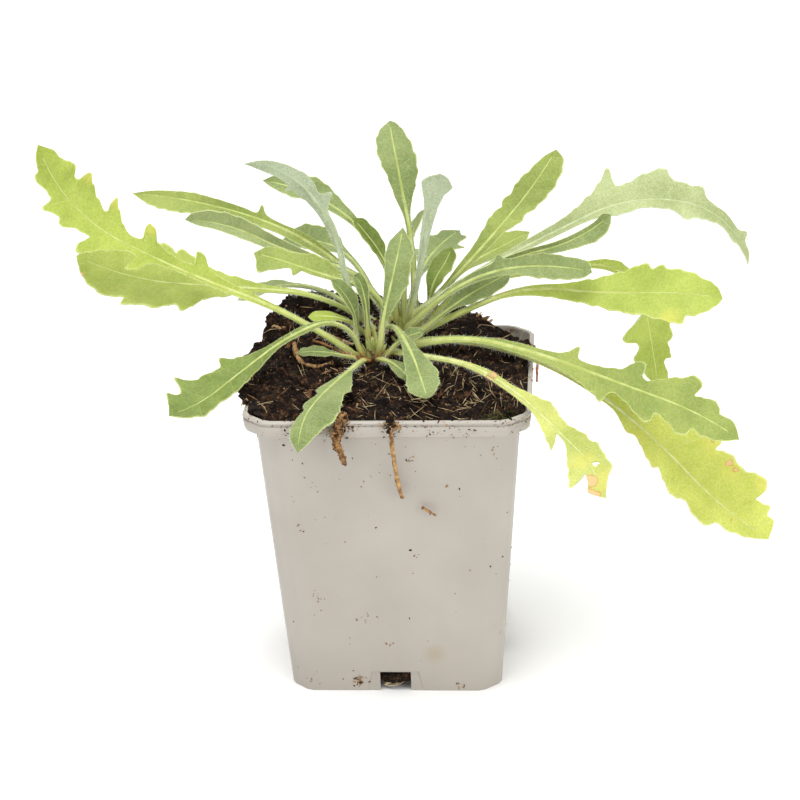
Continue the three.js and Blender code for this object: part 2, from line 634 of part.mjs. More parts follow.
    heading: [10, 20], rise: [34, 35, 25, 21], roll: [40, 45], fold: 12,
    left: { from: 0.25, widest: 0.65, reach: 4 },
    right: { from: 0.3, widest: 0.7, reach: 4.4, teeth: 4, bite: 0.4 },
  },
  {
    name: 'leaf_right_broad', knob: rearKnob, around: 350, level: 3.5, length: 101,
    heading: [-10, -3, -6], rise: [31, 24, -6, 3, -9], roll: [40, 40, 45], fold: 5,
    left: [[0.39, 1.5], [0.48, 2], [0.55, 4], [0.66, 7], [0.71, 8.5], [0.76, 10], [0.775, 8.5],
      [0.805, 9.5], [0.82, 8.5], [0.87, 8.5], [0.935, 6], [0.975, 4]],
    right: [[0.445, 3], [0.555, 4.5], [0.62, 6], [0.655, 7.5], [0.675, 7], [0.715, 8.5],
      [0.735, 8], [0.81, 10], [0.88, 11], [0.89, 8.5], [0.92, 8], [0.985, 3]],
  },
  {
    name: 'leaf_right_drooping', knob: rearKnob, around: 13, level: 3.0, length: 120,
    heading: [13, 16, 18], rise: [61, 5, 1, -80, -81], roll: [40, 50, 80], fold: 8, stalk: 1.3,
    left: [[0.4, 2], [0.44, 4.5], [0.47, 2.5], [0.52, 3], [0.56, 6], [0.6, 6.5], [0.63, 4],
      [0.7, 5], [0.765, 7], [0.815, 8], [0.865, 8], [0.87, 6.5], [0.915, 6.5], [0.915, 4],
      [0.975, 4]],
    right: [[0.5, 1.2], [0.6, 1.2], [0.695, 2], [0.77, 1.5], [0.78, 7.5], [0.8, 12], [0.82, 10],
      [0.835, 6], [0.855, 6], [0.88, 8.5], [0.945, 4]],
  },
  {
    name: 'leaf_right_lobed', knob: rearKnob, around: 293, level: 1.5, length: 113,
    heading: [-7, -17, -30], rise: [17, -9, -16, -12, -26], roll: [40, 45, 40], fold: 5, stalk: 1.9,
    left: [[0.3, 2], [0.39, 2], [0.44, 3], [0.475, 6.5], [0.485, 3], [0.51, 2.5], [0.61, 5],
      [0.645, 9], [0.67, 8.5], [0.675, 4.5], [0.69, 4], [0.78, 9], [0.815, 11], [0.835, 9],
      [0.83, 5], [0.87, 6.5], [0.905, 5.5], [0.915, 3.5], [0.945, 4], [0.975, 2.5]],
    right: [[0.325, 2], [0.455, 3], [0.56, 6.5], [0.595, 8.5], [0.61, 4], [0.675, 6.5],
      [0.73, 9.5], [0.75, 9], [0.75, 5.5], [0.8, 7], [0.84, 9], [0.865, 8], [0.87, 5.5], [0.91, 6],
      [0.965, 4]],
  },
  {
    name: 'leaf_right_hanging', knob: rearKnob, around: 325, level: 1.5, length: 135,
    heading: [-18, -8, -12], rise: [10, -16, -38, -47, -30], roll: [35, 45, 30], fold: 5,
    left: [[0.4, 4], [0.48, 4], [0.555, 7], [0.625, 9.5], [0.705, 13.5], [0.745, 17.5],
      [0.76, 15.5], [0.76, 13], [0.805, 16], [0.855, 15.5], [0.895, 18.5], [0.925, 18],
      [0.935, 15], [0.925, 10], [0.965, 11], [0.97, 7.5], [0.99, 6.5]],
    right: [[0.455, 1.2], [0.515, 1.5], [0.565, 4.5], [0.595, 4], [0.645, 7.5], [0.67, 8.5],
      [0.68, 7], [0.725, 10], [0.765, 10], [0.775, 8.5], [0.84, 10.5], [0.86, 10], [0.875, 6.5],
      [0.9, 7], [0.965, 3.5]],
  },
  {
    name: 'leaf_right_withered', knob: frontKnob, around: 346, level: 2.0, length: 112,
    heading: [-34, -51, -69], rise: [4, 6, -9, -15, -8, -35], roll: [30, 30, 20], fold: 8,
    left: [[0.38, 1.5], [0.475, 1.5], [0.52, 2.5], [0.56, 3.5], [0.615, 5], [0.635, 4.5],
      [0.655, 4], [0.71, 3.5], [0.785, 5], [0.82, 5], [0.84, 6], [0.865, 5.5], [0.92, 5.5],
      [0.945, 3], [0.975, 1.2]],
    right: [[0.43, 1.2], [0.525, 1.2], [0.6, 1.5], [0.705, 4.5], [0.76, 6], [0.73, 3.5],
      [0.7, 1.2], [0.755, 1.2], [0.835, 5], [0.94, 8.5], [0.93, 6.5], [0.915, 4.5], [0.9, 2.5],
      [0.935, 3], [0.97, 4]],
  },
];

// A root or dead stalk: a tube of a few sides along a smooth curve through its points.
function strandGeometry({ path, radius, sides = 6, steps = 12 }) {
  const curve = new THREE.CatmullRomCurve3(path.map((point) => new THREE.Vector3(...point)));
  const section = new THREE.Shape();
  for (let i = 0; i < sides; i++) {
    const angle = i / sides * Math.PI * 2;
    const x = Math.cos(angle) * radius;
    const y = Math.sin(angle) * radius;
    if (i === 0) section.moveTo(x, y);
    else section.lineTo(x, y);
  }
  section.closePath();
  return new THREE.ExtrudeGeometry(section, { steps, bevelEnabled: false, extrudePath: curve });
}

const strands = [
  {
    name: 'root_over_rim', radius: 1.1,
    path: [[0.8, -41.5, 100.6], [1, -44.4, 100], [1.2, -46.7, 98.2], [1.8, -46.9, 92.8],
      [2.2, -46.6, 87.8], [2.8, -45, 81.4], [3.5, -43, 75.9], [4.5, -41.5, 70.8]],
  },
  {
    name: 'root_bark_over_rim', radius: 1.5,
    path: [[-10, -41.2, 101.1], [-10.8, -44.6, 100.5], [-12, -47.2, 98.2], [-14.6, -47.4, 93.5],
      [-13.7, -47.2, 89.6], [-12.2, -46.4, 84]],
  },
  {
    name: 'root_on_soil', radius: 0.9,
    path: [[-33.2, 9.6, 104.6], [-31.4, 0.8, 103.4], [-28.8, -5.2, 102.9], [-25.1, -6.9, 102.4],
      [-22.1, -5.4, 102.1], [-19.5, -1.5, 101.9]],
  },
  {
    name: 'dead_stalk', radius: 1,
    path: [[-26.7, 17.6, 105.8], [-21.8, 14.8, 104.7], [-16.7, 12.1, 103.6], [-13.6, 10.4, 103]],
  },
];

const group = new THREE.Group();

function addPiece(name, geometry, { color, roughness }) {
  const material = new THREE.MeshStandardMaterial({ color, roughness, metalness: 0 });
  const mesh = new THREE.Mesh(geometry, material);
  mesh.name = name;
  group.add(mesh);
}

const greyPlastic = { color: 0xc8bfb7, roughness: 0.55 };
const peat = { color: 0x3a2e25, roughness: 0.95 };
const crownSkin = { color: 0x8a7a45, roughness: 0.8 };
const leafGreen = { color: 0xa9c060, roughness: 0.6 };
const bark = { color: 0x8a6a45, roughness: 0.9 };

addPiece('pot', potGeometry(), greyPlastic);
addPiece('soil', soilGeometry(), peat);
addPiece('crown', fromSolid(crownSolid(0)), crownSkin);
for (const leaf of leaves) addPiece(leaf.name, leafGeometry(leaf), leafGreen);
for (const strand of strands) addPiece(strand.name, strandGeometry(strand), bark);

// The whole stands on z = 0 with the middle of its bounding box over the origin.
const bounds = new THREE.Box3().setFromObject(group);
const middle = bounds.getCenter(new THREE.Vector3());
for (const mesh of group.children) mesh.geometry.translate(-middle.x, -middle.y, -bounds.min.z);

export default group;
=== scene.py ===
import math
import random

import bpy
import numpy as np
from mathutils import Matrix, Quaternion, Vector


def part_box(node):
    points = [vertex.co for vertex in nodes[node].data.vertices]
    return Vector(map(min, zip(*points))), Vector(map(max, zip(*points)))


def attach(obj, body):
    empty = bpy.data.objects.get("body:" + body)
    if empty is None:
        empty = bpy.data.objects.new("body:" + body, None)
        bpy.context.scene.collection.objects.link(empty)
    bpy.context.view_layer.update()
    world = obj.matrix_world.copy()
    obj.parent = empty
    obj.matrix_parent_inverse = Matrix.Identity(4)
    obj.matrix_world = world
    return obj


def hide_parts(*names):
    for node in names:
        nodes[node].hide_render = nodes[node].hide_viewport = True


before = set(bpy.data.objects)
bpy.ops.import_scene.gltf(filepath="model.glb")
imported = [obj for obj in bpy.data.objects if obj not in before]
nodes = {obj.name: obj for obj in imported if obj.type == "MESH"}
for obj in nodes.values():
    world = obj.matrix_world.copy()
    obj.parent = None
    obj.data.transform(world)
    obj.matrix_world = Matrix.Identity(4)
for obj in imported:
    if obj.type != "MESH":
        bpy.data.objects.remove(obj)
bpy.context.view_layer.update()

mm = 0.001
random.seed(11)
rng = np.random.default_rng(11)
potLow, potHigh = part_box("pot")
potAxis = np.array([(potLow.x + potHigh.x) / 2, (potLow.y + potHigh.y) / 2, 0])  # metres


# Tools used by every piece

def fromHex(value):  # sRGB hex to linear colour
    parts = [int(value[i:i + 2], 16) / 255 for i in (1, 3, 5)]
    return [*(p / 12.92 if p <= 0.04045 else ((p + 0.055) / 1.055) ** 2.4 for p in parts), 1]


def addNode(tree, kind, links=None, stops=None, **settings):
    node = tree.nodes.new("ShaderNode" + kind)
    for name, value in settings.items():
        setattr(node, name, value)
    for name, value in (links or {}).items():
        socket = node.inputs[name]
        if isinstance(value, bpy.types.NodeSocket):
            tree.links.new(value, socket)
        else:
            socket.default_value = fromHex(value) if isinstance(value, str) else value
    for index, (place, shade) in enumerate(stops or []):
        elements = node.color_ramp.elements
        element = elements[index] if index < 2 else elements.new(place)
        element.position = place
        element.color = fromHex(shade) if isinstance(shade, str) else (shade, shade, shade, 1)
    return node


def startMaterial(name):
    material = bpy.data.materials.new(name)
    material.use_nodes = True
    tree = material.node_tree
    tree.nodes.clear()
    shader = addNode(tree, "BsdfPrincipled")
    output = addNode(tree, "OutputMaterial", {"Surface": shader.outputs[0]})
    output.location = (300, 0)
    return material, tree, shader


def finish(tree, shader, links):
    for name, value in links.items():
        socket = shader.inputs[name]
        if isinstance(value, bpy.types.NodeSocket):
            tree.links.new(value, socket)
        else:
            socket.default_value = fromHex(value) if isinstance(value, str) else value


def pickOnly(*objects):
    bpy.ops.object.select_all(action="DESELECT")
    for obj in objects:
        obj.select_set(True)
    bpy.context.view_layer.objects.active = objects[0]


def applyModifier(obj, kind, **settings):
    pickOnly(obj)
    modifier = obj.modifiers.new(kind.title(), kind)
    for name, value in settings.items():
        setattr(modifier, name, value)
    bpy.ops.object.modifier_apply(modifier=modifier.name)


def inEditMode(obj, *steps):  # each step is (operator, settings), on all of the mesh
    pickOnly(obj)
    bpy.ops.object.mode_set(mode="EDIT")
    bpy.ops.mesh.select_all(action="SELECT")
    for operator, settings in steps:
        operator(**settings)
    bpy.ops.object.mode_set(mode="OBJECT")


def pickFaces(obj, test):  # selects the faces that pass the test, and counts them
    pickOnly(obj)
    bpy.ops.object.mode_set(mode="EDIT")
    bpy.ops.mesh.select_mode(type="FACE")
    bpy.ops.mesh.select_all(action="DESELECT")
    bpy.ops.object.mode_set(mode="OBJECT")
    for face in obj.data.polygons:
        face.select = bool(test(face))
    return sum(face.select for face in obj.data.polygons)


def editPicked(*steps):
    bpy.ops.object.mode_set(mode="EDIT")
    for operator, settings in steps:
        operator(**settings)
    bpy.ops.object.mode_set(mode="OBJECT")


def addGrid(name, points, **layers):
    # A grid primitive laid out over points[row, column], in metres, with named layers of three numbers.
    rows, columns = points.shape[:2]
    bpy.ops.object.select_all(action="DESELECT")
    bpy.ops.mesh.primitive_grid_add(x_subdivisions=rows - 1, y_subdivisions=columns - 1, size=2)
    obj = bpy.context.object
    obj.name = name
    flat = np.empty(rows * columns * 3)
    obj.data.vertices.foreach_get("co", flat)
    flat = flat.reshape(-1, 3)
    row = np.rint((flat[:, 0] + 1) / 2 * (rows - 1)).astype(int)
    column = np.rint((flat[:, 1] + 1) / 2 * (columns - 1)).astype(int)
    obj.data.vertices.foreach_set("co", points[row, column].ravel())
    for layer, numbers in layers.items():
        attribute = obj.data.attributes.new(layer, "FLOAT_VECTOR", "POINT")
        attribute.data.foreach_set("vector", numbers[row, column].ravel())
    return obj


def addTube(name, path, radii, sides=10, flat=1.0, up=None, **layers):
    # A grid rolled up round path, closed at both ends; flat is its height over its width.
    path = np.asarray(path, float)
    flat = np.broadcast_to(flat, len(path))[:, None, None]
    ahead = np.gradient(path, axis=0)
    ahead /= np.linalg.norm(ahead, axis=1, keepdims=True)
    if up is None:
        up = np.tile([0.13, 0.21, 0.97], (len(path), 1))
    side = np.cross(up, ahead)
    side /= np.linalg.norm(side, axis=1, keepdims=True)
    up = np.cross(ahead, side)
    angle = np.linspace(0, 2 * np.pi, sides + 1)
    ring = side[:, None] * np.cos(angle)[None, :, None]
    ring = ring + up[:, None] * np.sin(angle)[None, :, None] * flat
    radii = np.asarray(radii, float).copy()
    radii[[0, -1]] = 0
    layers = {layer: np.repeat(numbers[:, None], sides + 1, axis=1) for layer, numbers in layers.items()}
    if "leafPlace" in layers:  # its second number tells how far round from the top a point lies
        layers["leafPlace"][:, :, 1] = np.cos(angle)
    obj = addGrid(name, path[:, None] + ring * radii[:, None, None], **layers)
    inEditMode(obj, (bpy.ops.mesh.remove_doubles, dict(threshold=1e-6)),
               (bpy.ops.mesh.normals_make_consistent, dict(inside=False)))
    return obj


def joinAll(name, objects):
    pickOnly(*objects)
    if len(objects) > 1:
        bpy.ops.object.join()
    obj = bpy.context.object
    obj.name = name
    obj.data.name = name
    return obj


def scatter(name, pattern, matrices, material):
    # One mesh with a copy of the pattern for each matrix.
    count = len(pattern.data.vertices)
    flat = np.empty(count * 3)
    pattern.data.vertices.foreach_get("co", flat)
    corners = np.c_[flat.reshape(-1, 3), np.ones(count)]
    spots = np.einsum("mij,vj->mvi", np.asarray(matrices, float)[:, :3], corners).reshape(-1, 3)
    faces = [tuple(p.vertices) for p in pattern.data.polygons]
    copies = [tuple(v + k * count for v in f) for k in range(len(matrices)) for f in faces]
    mesh = bpy.data.meshes.new(name)
    mesh.from_pydata(spots.tolist(), [], copies)
    mesh.materials.append(material)
    obj = bpy.data.objects.new(name, mesh)
    bpy.context.collection.objects.link(obj)
    return obj


def mountOn(obj, slot, *replaced):
    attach(obj, "root")
    if replaced:
        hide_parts(*replaced)
    return obj


# Camera and light

cameraValues = dict(aim=(1.7, 0.13, 87.9), distance=800, pitch=21, turn=4.3, roll=-1.8, lens=110.65)


def addCamera(values):
    pitch = math.radians(values["pitch"])
    turn = math.radians(values["turn"])
    back = Vector((math.sin(turn) * math.cos(pitch), -math.cos(turn) * math.cos(pitch), math.sin(pitch)))
    aim = Vector(potAxis) + Vector(turnAbout(values["aim"], turn)) * mm
    look = (-back).to_track_quat("-Z", "Y") @ Quaternion((0, 0, 1), math.radians(values["roll"]))
    bpy.ops.object.camera_add(location=aim + back * values["distance"] * mm, rotation=look.to_euler())
    camera = bpy.context.object
    camera.name = "photo_camera"
    camera.data.lens = values["lens"]
    camera.data.sensor_width = 36
    camera.data.clip_start = 0.01
    bpy.context.scene.camera = camera


def turnAbout(point, turn):
    x, y, z = point
    return x * math.cos(turn) - y * math.sin(turn), x * math.sin(turn) + y * math.cos(turn), z


lightValues = dict(
    room="#f7f8fa", roomStrength=0.56,
    lamps=[  # name, place, aim, size, watts; metres
        ("softbox_above", (-0.2, -0.25, 1.3), (0, 0, 0.1), 1.1, 15),
        ("softbox_left", (-0.95, -1.3, 0.65), (0, 0, 0.09), 0.9, 3.4),
        ("softbox_right", (1.2, -1.1, 0.6), (0, 0, 0.09), 0.9, 9.5),
        ("softbox_behind", (0, 1.7, 1.7), (0, 1.6, 0), 1.8, 22),
    ],
    floor="#fbfbfa", floorSize=9,
)


def addLights(values):
    world = bpy.data.worlds.new("studio")
    world.use_nodes = True
    bpy.context.scene.world = world
    bpy.context.scene.view_settings.view_transform = "Standard"
    background = world.node_tree.nodes["Background"]
    background.inputs["Color"].default_value = fromHex(values["room"])
    background.inputs["Strength"].default_value = values["roomStrength"]
    for name, place, aim, size, watts in values["lamps"]:
        look = (Vector(aim) - Vector(place)).to_track_quat("-Z", "Y")
        bpy.ops.object.light_add(type="AREA", location=place, rotation=look.to_euler())
        lamp = bpy.context.object
        lamp.name = name
        lamp.data.size = size
        lamp.data.energy = watts
    bpy.ops.mesh.primitive_plane_add(size=values["floorSize"])
    floor = bpy.context.object
    floor.name = "studio_floor"
    material, tree, shader = startMaterial("matte_white_card")
    finish(tree, shader, {"Base Color": values["floor"], "Roughness": 0.9})
    floor.data.materials.append(material)


addCamera(cameraValues)
addLights(lightValues)
print("camera and lights are in place")


# Leaves: a grid for each half of the blade, a tube for stalk and midrib, and fine white hairs

frontKnob = dict(x=-7, y=4, z=102, radius=7, taper=0.62)
rearKnob = dict(x=2, y=16, z=103, radius=8.2, taper=0.6)

leafValues = dict(
    seatGap=0.3, stalkHeight=2, stalkHalfWidth=1.5, stalkFlare=1.25, veinSlant=0.45, foldStart=0.2,
    stalkSlim=0.66, toothSpacing=5.2, toothDepth=0.6,
    bladeThickness=0.4, stationSpacing=0.7, columns=6, ribEnd=0.97,
    veinSpacing=6.5, quilt=0.16, edgeRipple=0.3, edgeRippleLength=9,
    stalkHairs=5, edgeHairs=2.1, hairRadius=0.05,  # hairs a millimetre
)

leaves = [
    dict(name="leaf_left_lobed", skin="bright", knob=frontKnob, around=186, level=1.5, length=124,
         heading=[186, 186, 185], rise=[39, 24, 31, 77], roll=[-40, -50, -60],
         left=[(0.355, 1.5), (0.515, 1.2), (0.575, 2.5), (0.605, 7), (0.63, 8), (0.615, 2.5), (0.64, 2),
               (0.705, 7), (0.745, 12), (0.755, 10), (0.74, 5), (0.775, 5.5), (0.815, 8.5), (0.825, 6.5),
               (0.865, 9), (0.87, 4.5), (0.935, 5.5), (0.94, 3.5), (0.97, 2.5)],
         right=[(0.3, 1.5), (0.42, 3.5), (0.46, 8), (0.475, 7.5), (0.47, 3.5), (0.52, 3), (0.58, 5),
                (0.6, 8), (0.62, 9), (0.625, 7), (0.62, 4), (0.635, 3), (0.67, 4), (0.72, 9), (0.74, 11),
                (0.745, 8.5), (0.74, 5.5), (0.77, 6.5), (0.82, 9), (0.86, 10.5), (0.865, 6), (0.9, 7.5),
                (0.92, 7.5), (0.935, 5.5), (0.97, 4)],
         marks=[("yellow", 0.735, -10, 3), ("yellow", 0.85, -10, 3), ("yellow", 0.61, -8, 2.5)]),
    # its skin is the bright skin darkened: painted shade on this leaf
    dict(name="leaf_left_broad", skin="broad", knob=rearKnob, around=191, level=3, length=105,
         heading=[191, 183, 170], rise=[49, 7, 4, 25], roll=[-10, -25, -30], fold=6,
         left=[(0.385, 1.5), (0.515, 4.5), (0.585, 7), (0.64, 13), (0.66, 10.5), (0.68, 11), (0.72, 14),
               (0.76, 13), (0.81, 14), (0.81, 11), (0.865, 11), (0.91, 9.5), (0.95, 6.5), (0.98, 3)],
         right=[(0.39, 2), (0.475, 4.5), (0.565, 7), (0.62, 10), (0.685, 14), (0.695, 12.5), (0.72, 15),
                (0.77, 16.5), (0.83, 16), (0.925, 11), (0.98, 5.5)],
         marks=[("dry", 0.85, 6.6, 0.8), ("dry", 0.955, 5.8, 0.8)]),
    dict(name="leaf_left_long", skin="fresh", knob=rearKnob, around=127, level=5, length=119,
         heading=[127, 152, 157], rise=[30, 20, 6, -2], roll=[-20, -45, -50], fold=18,
         left=[(0.39, 2.5), (0.51, 2.5), (0.61, 3.5), (0.675, 4), (0.745, 5), (0.835, 5.5), (0.925, 4)],
         right=[(0.4, 2), (0.49, 1.5), (0.545, 2.5), (0.565, 5), (0.57, 2), (0.615, 2), (0.705, 2.5),
               (0.795, 3), (0.855, 2.5), (0.935, 1.5)]),
    dict(name="leaf_left_narrow", skin="soft", knob=rearKnob, around=154, level=6.5, length=79,
         heading=[151, 174, 169], rise=[72, 11, 26, -2], roll=[-10, -60, -75], fold=26,
         left=[(0.52, 1.5), (0.63, 2), (0.74, 2.5), (0.865, 2), (0.945, 1.5)],
         right=[(0.545, 2.5), (0.645, 3), (0.77, 4), (0.855, 4), (0.915, 3.5), (0.97, 2)]),
    dict(name="leaf_left_short", skin="fresh", knob=rearKnob, around=189, level=7.5, length=52,
         heading=[189, 170, 175], rise=[88, 13, 18, 14], roll=[-5, -30, -40], fold=8,
         left=[(0.505, 1.2), (0.63, 1.5), (0.68, 1.5), (0.71, 5), (0.745, 2), (0.81, 3.5), (0.94, 6.5),
               (0.97, 2.5)],
         right=[(0.45, 3.5), (0.6, 6), (0.735, 4.5), (0.92, 3.5)]),
    dict(name="leaf_left_silver", skin="silver", knob=frontKnob, around=90, level=6.5, length=75,
         heading=[171, 196], rise=[53, 82, 55, 4], roll=[50, 80], fold=10,
         left=[(0.5, 1.5), (0.58, 2), (0.63, 6), (0.655, 2.5), (0.715, 3.5), (0.81, 3), (0.91, 2)],
         right=[(0.525, 2), (0.6, 2.5), (0.68, 3.5), (0.74, 4), (0.755, 5.5), (0.78, 3), (0.83, 2.5),
               (0.915, 2)]),
    dict(name="leaf_left_arched", skin="green", knob=rearKnob, around=97, level=6, length=71,
         heading=[150, 161], rise=[84, 52, 22, 4], roll=[0, -40], fold=14,
         left=[(0.51, 1.5), (0.63, 2.5), (0.76, 3.5), (0.82, 4), (0.945, 2)],
         right=[(0.54, 2.5), (0.62, 3.5), (0.73, 6), (0.835, 6), (0.915, 4)]),
    dict(name="leaf_left_folded", skin="deep", knob=rearKnob, around=122, level=8.5, length=35,
         heading=[122, 165], rise=[87, 69, 48, 46], roll=[0, -40], fold=30,
         left=dict(start=0.4, widest=0.72, reach=2.8, teeth=4, bite=0.4),
         right=dict(start=0.4, widest=0.75, reach=3.2, teeth=4, bite=0.4)),
    dict(name="leaf_left_slender", skin="soft", knob=rearKnob, around=133, level=2.5, length=59,
         heading=[147, 173], rise=[14, 26, -8, -30], roll=[-5, -20], stalk=1.2,
         left=dict(start=0.6, widest=0.82, reach=4),
         right=dict(start=0.6, widest=0.82, reach=4)),
    dict(name="leaf_back_left", skin="green", knob=rearKnob, around=108, level=3, length=75,
         heading=[115, 141], rise=[6, 35, -1, -16], roll=[0, -30], stalk=1.3,
         left=dict(start=0.5, widest=0.8, reach=7),
         right=dict(start=0.5, widest=0.8, reach=7)),
    dict(name="leaf_new_left", skin="green", knob=frontKnob, around=151, level=4, length=23,
         heading=[156, 168], rise=[88, 84, 54, 43], roll=[-20, -40], fold=38, stalk=1.2,
         left=dict(start=0.3, widest=0.65, reach=2.6),
         right=dict(start=0.3, widest=0.65, reach=2.6)),
    dict(name="leaf_new_upright", skin="green", knob=frontKnob, around=118, level=8, length=20,
         heading=[112, 125], rise=[88, 80, 59, -4], roll=[-10, -30], fold=38, stalk=1.2,
         left=dict(start=0.35, widest=0.7, reach=2),
         right=dict(start=0.35, widest=0.7, reach=2)),
    dict(name="leaf_front_left", skin="deep", knob=frontKnob, around=225, level=5, length=76,
         heading=[203, 222], rise=[76, -12, -27, -26, 2], roll=[-20, -25, -10], fold=8,
         left=[(0.3, 1.5), (0.43, 1.5), (0.565, 3.5), (0.68, 5.5), (0.74, 6.5), (0.785, 5.5), (0.885, 7),
               (0.905, 5.5), (0.95, 5), (0.985, 2.5)],
         right=[(0.285, 1.5), (0.385, 1.5), (0.49, 2), (0.615, 5.5), (0.655, 8.5), (0.675, 6),
               (0.74, 7.5), (0.81, 10.5), (0.845, 14), (0.875, 7.5), (0.905, 7.5), (0.935, 9), (0.955, 6)]),
    dict(name="leaf_front_over_rim", skin="green", knob=frontKnob, around=244, level=0.5, length=57,
         heading=[248, 257], rise=[-1, -2, -1, -11, -77], roll=[0, -5], fold=6,
         left=[(0.24, 3), (0.47, 8), (0.52, 7), (0.675, 9.5), (0.8, 10), (0.87, 6), (0.925, 4)],
         right=[(0.32, 1.5), (0.485, 3), (0.53, 1.5), (0.7, 2.5), (0.73, 1.5), (0.86, 3), (0.92, 3)]),
    dict(name="leaf_front_round", skin="green", knob=frontKnob, around=75, level=4.1, length=51,
         heading=[306, 280], rise=[61, -18, -26, -7], roll=[10, 5], fold=6,
         left=[(0.405, 1.5), (0.55, 3), (0.655, 4.5), (0.745, 5.5), (0.825, 5.5), (0.905, 4), (0.965, 2)],
         right=[(0.425, 1.5), (0.62, 3.5), (0.75, 4.5), (0.915, 5), (0.965, 3)]),
    dict(name="leaf_front_small_left", skin="green", knob=frontKnob, around=215, level=1, length=19,
         heading=[207, 186], rise=[15, 19, 7, -8], roll=[-15, -20], fold=8, stalk=1.2,
         left=dict(start=0.25, widest=0.6, reach=2.6, teeth=4, bite=0.4),
         right=dict(start=0.25, widest=0.6, reach=2.8, teeth=4, bite=0.4)),
    dict(name="leaf_low_left", skin="bright", knob=rearKnob, around=207, level=0.5, length=26,
         heading=[201, 178], rise=[46, 44, 10, -6], roll=[-25, -30], fold=8, stalk=1.2,
         left=dict(start=0.55, widest=0.78, reach=2.6),
         right=dict(start=0.55, widest=0.78, reach=2.2)),
    dict(name="leaf_front_low", skin="green", knob=frontKnob, around=299, level=1, length=18,
         heading=[298, 312], rise=[10, 5, -13, -42], roll=[20, 20], stalk=1.2,
         left=dict(start=0.3, widest=0.7, reach=2.4),
         right=dict(start=0.3, widest=0.7, reach=2.4)),
    dict(name="leaf_front_small_right", skin="green", knob=frontKnob, around=324, level=3, length=13,
         heading=[9, 10], rise=[56, 32, 19, 11], roll=[25, 20], fold=10, stalk=1.2,
         left=dict(start=0.2, widest=0.65, reach=3.2, teeth=4, bite=0.4),
         right=dict(start=0.2, widest=0.65, reach=3.2, teeth=4, bite=0.4)),
    dict(name="leaf_middle_oval", skin="green", knob=frontKnob, around=300, level=6, length=40,
         heading=[61, 80], rise=[79, 57, 48, 44], roll=[0, 0], fold=8,
         left=[(0.2, 1.2), (0.305, 1.2), (0.515, 2.5), (0.65, 3.5), (0.79, 4), (0.89, 3), (0.945, 1.5)],
         right=[(0.2, 1.5), (0.335, 4), (0.425, 5), (0.515, 6), (0.7, 5.5), (0.81, 5), (0.87, 3.5),
               (0.945, 1.5)]),
    dict(name="leaf_tall_oval", skin="green", knob=rearKnob, around=49, level=7.5, length=67,
         heading=[87, 126, 96], rise=[88, 76, 67, 27], roll=[-15, -15], fold=6,
         left=[(0.49, 1.2), (0.57, 2.5), (0.69, 4), (0.785, 5.5), (0.875, 5.5), (0.945, 4), (0.98, 1.5)],
         right=[(0.49, 1.2), (0.59, 3.5), (0.66, 5.5), (0.725, 6.5), (0.825, 6), (0.915, 4), (0.97, 2)]),
    dict(name="leaf_tall_silver", skin="silver", knob=rearKnob, around=303, level=9, length=56,
         heading=[303, 320], rise=[60, 71, 80, 59], roll=[-20, -20], fold=8, stalk=1.3,
         left=[(0.5, 1.2), (0.585, 1.5), (0.75, 3.5), (0.825, 4.5), (0.875, 6.5), (0.91, 6.5),
               (0.95, 4.5), (0.98, 2.5)],
         right=[(0.5, 1.5), (0.65, 1.5), (0.75, 1.5), (0.83, 2.5), (0.89, 4), (0.935, 4.5), (0.965, 3.5)]),
    dict(name="leaf_tall_small", skin="soft", knob=rearKnob, around=86, level=7.5, length=38,
         heading=[80, 56], rise=[86, 76, 51, 23], roll=[-20, -20], fold=20, stalk=1.2,
         left=dict(start=0.45, widest=0.75, reach=2.4, teeth=4, bite=0.4),
         right=dict(start=0.45, widest=0.75, reach=2.4, teeth=4, bite=0.4)),
    dict(name="leaf_middle_bright", skin="deep", knob=rearKnob, around=40, level=4.5, length=29,
         heading=[41, 51], rise=[16, 84, 39, 58], roll=[10, 10], fold=12,
         left=dict(start=0.3, widest=0.7, reach=4.4, teeth=4, bite=0.4),
         right=dict(start=0.3, widest=0.7, reach=4, teeth=4, bite=0.4)),
    dict(name="leaf_back_lobed", skin="green", knob=rearKnob, around=83, level=2.5, length=55,
         heading=[86, 58], rise=[39, 23, 13, 3], roll=[0, 10], stalk=1.3,
         left=[(0.5, 2), (0.62, 7), (0.66, 3.5), (0.775, 8), (0.815, 4.5), (0.91, 4)],
         right=[(0.475, 2), (0.595, 8), (0.645, 3.5), (0.755, 9), (0.815, 5), (0.895, 6), (0.93, 3)]),
    dict(name="leaf_right_tall", skin="fresh", knob=rearKnob, around=74, level=5, length=78,
         heading=[37, 38, 39], rise=[25, 36, 38, 50], roll=[30, 35], fold=8,
         left=[(0.325, 2), (0.43, 2.5), (0.53, 4), (0.61, 5), (0.65, 4), (0.67, 5), (0.72, 4.5),
               (0.79, 5), (0.865, 4), (0.945, 2.5)],
         right=[(0.35, 1.2), (0.45, 2), (0.56, 2.5), (0.65, 5), (0.665, 4.5), (0.76, 6), (0.85, 6.5),
               (0.92, 6), (0.975, 4)]),
    dict(name="leaf_right_short", skin="fresh", knob=rearKnob, around=55, level=2.5, length=64,
         heading=[65, 41], rise=[27, 21, 7, 12], roll=[20, 30], fold=8,
         left=dict(start=0.42, widest=0.78, reach=4.4),
         right=dict(start=0.42, widest=0.78, reach=4)),
    dict(name="leaf_right_arching", skin="pale", knob=rearKnob, around=14, level=8.6, length=131,
         heading=[11, 10, 9], rise=[35, 25, 24, -15, -78], roll=[35, 50, 45, 30], fold=16,
         left=[(0.345, 2), (0.45, 3), (0.525, 6), (0.555, 9), (0.58, 12.5), (0.585, 6.5), (0.6, 6),
               (0.645, 8), (0.675, 9.5), (0.7, 10), (0.71, 7), (0.755, 6), (0.785, 6), (0.805, 3.5),
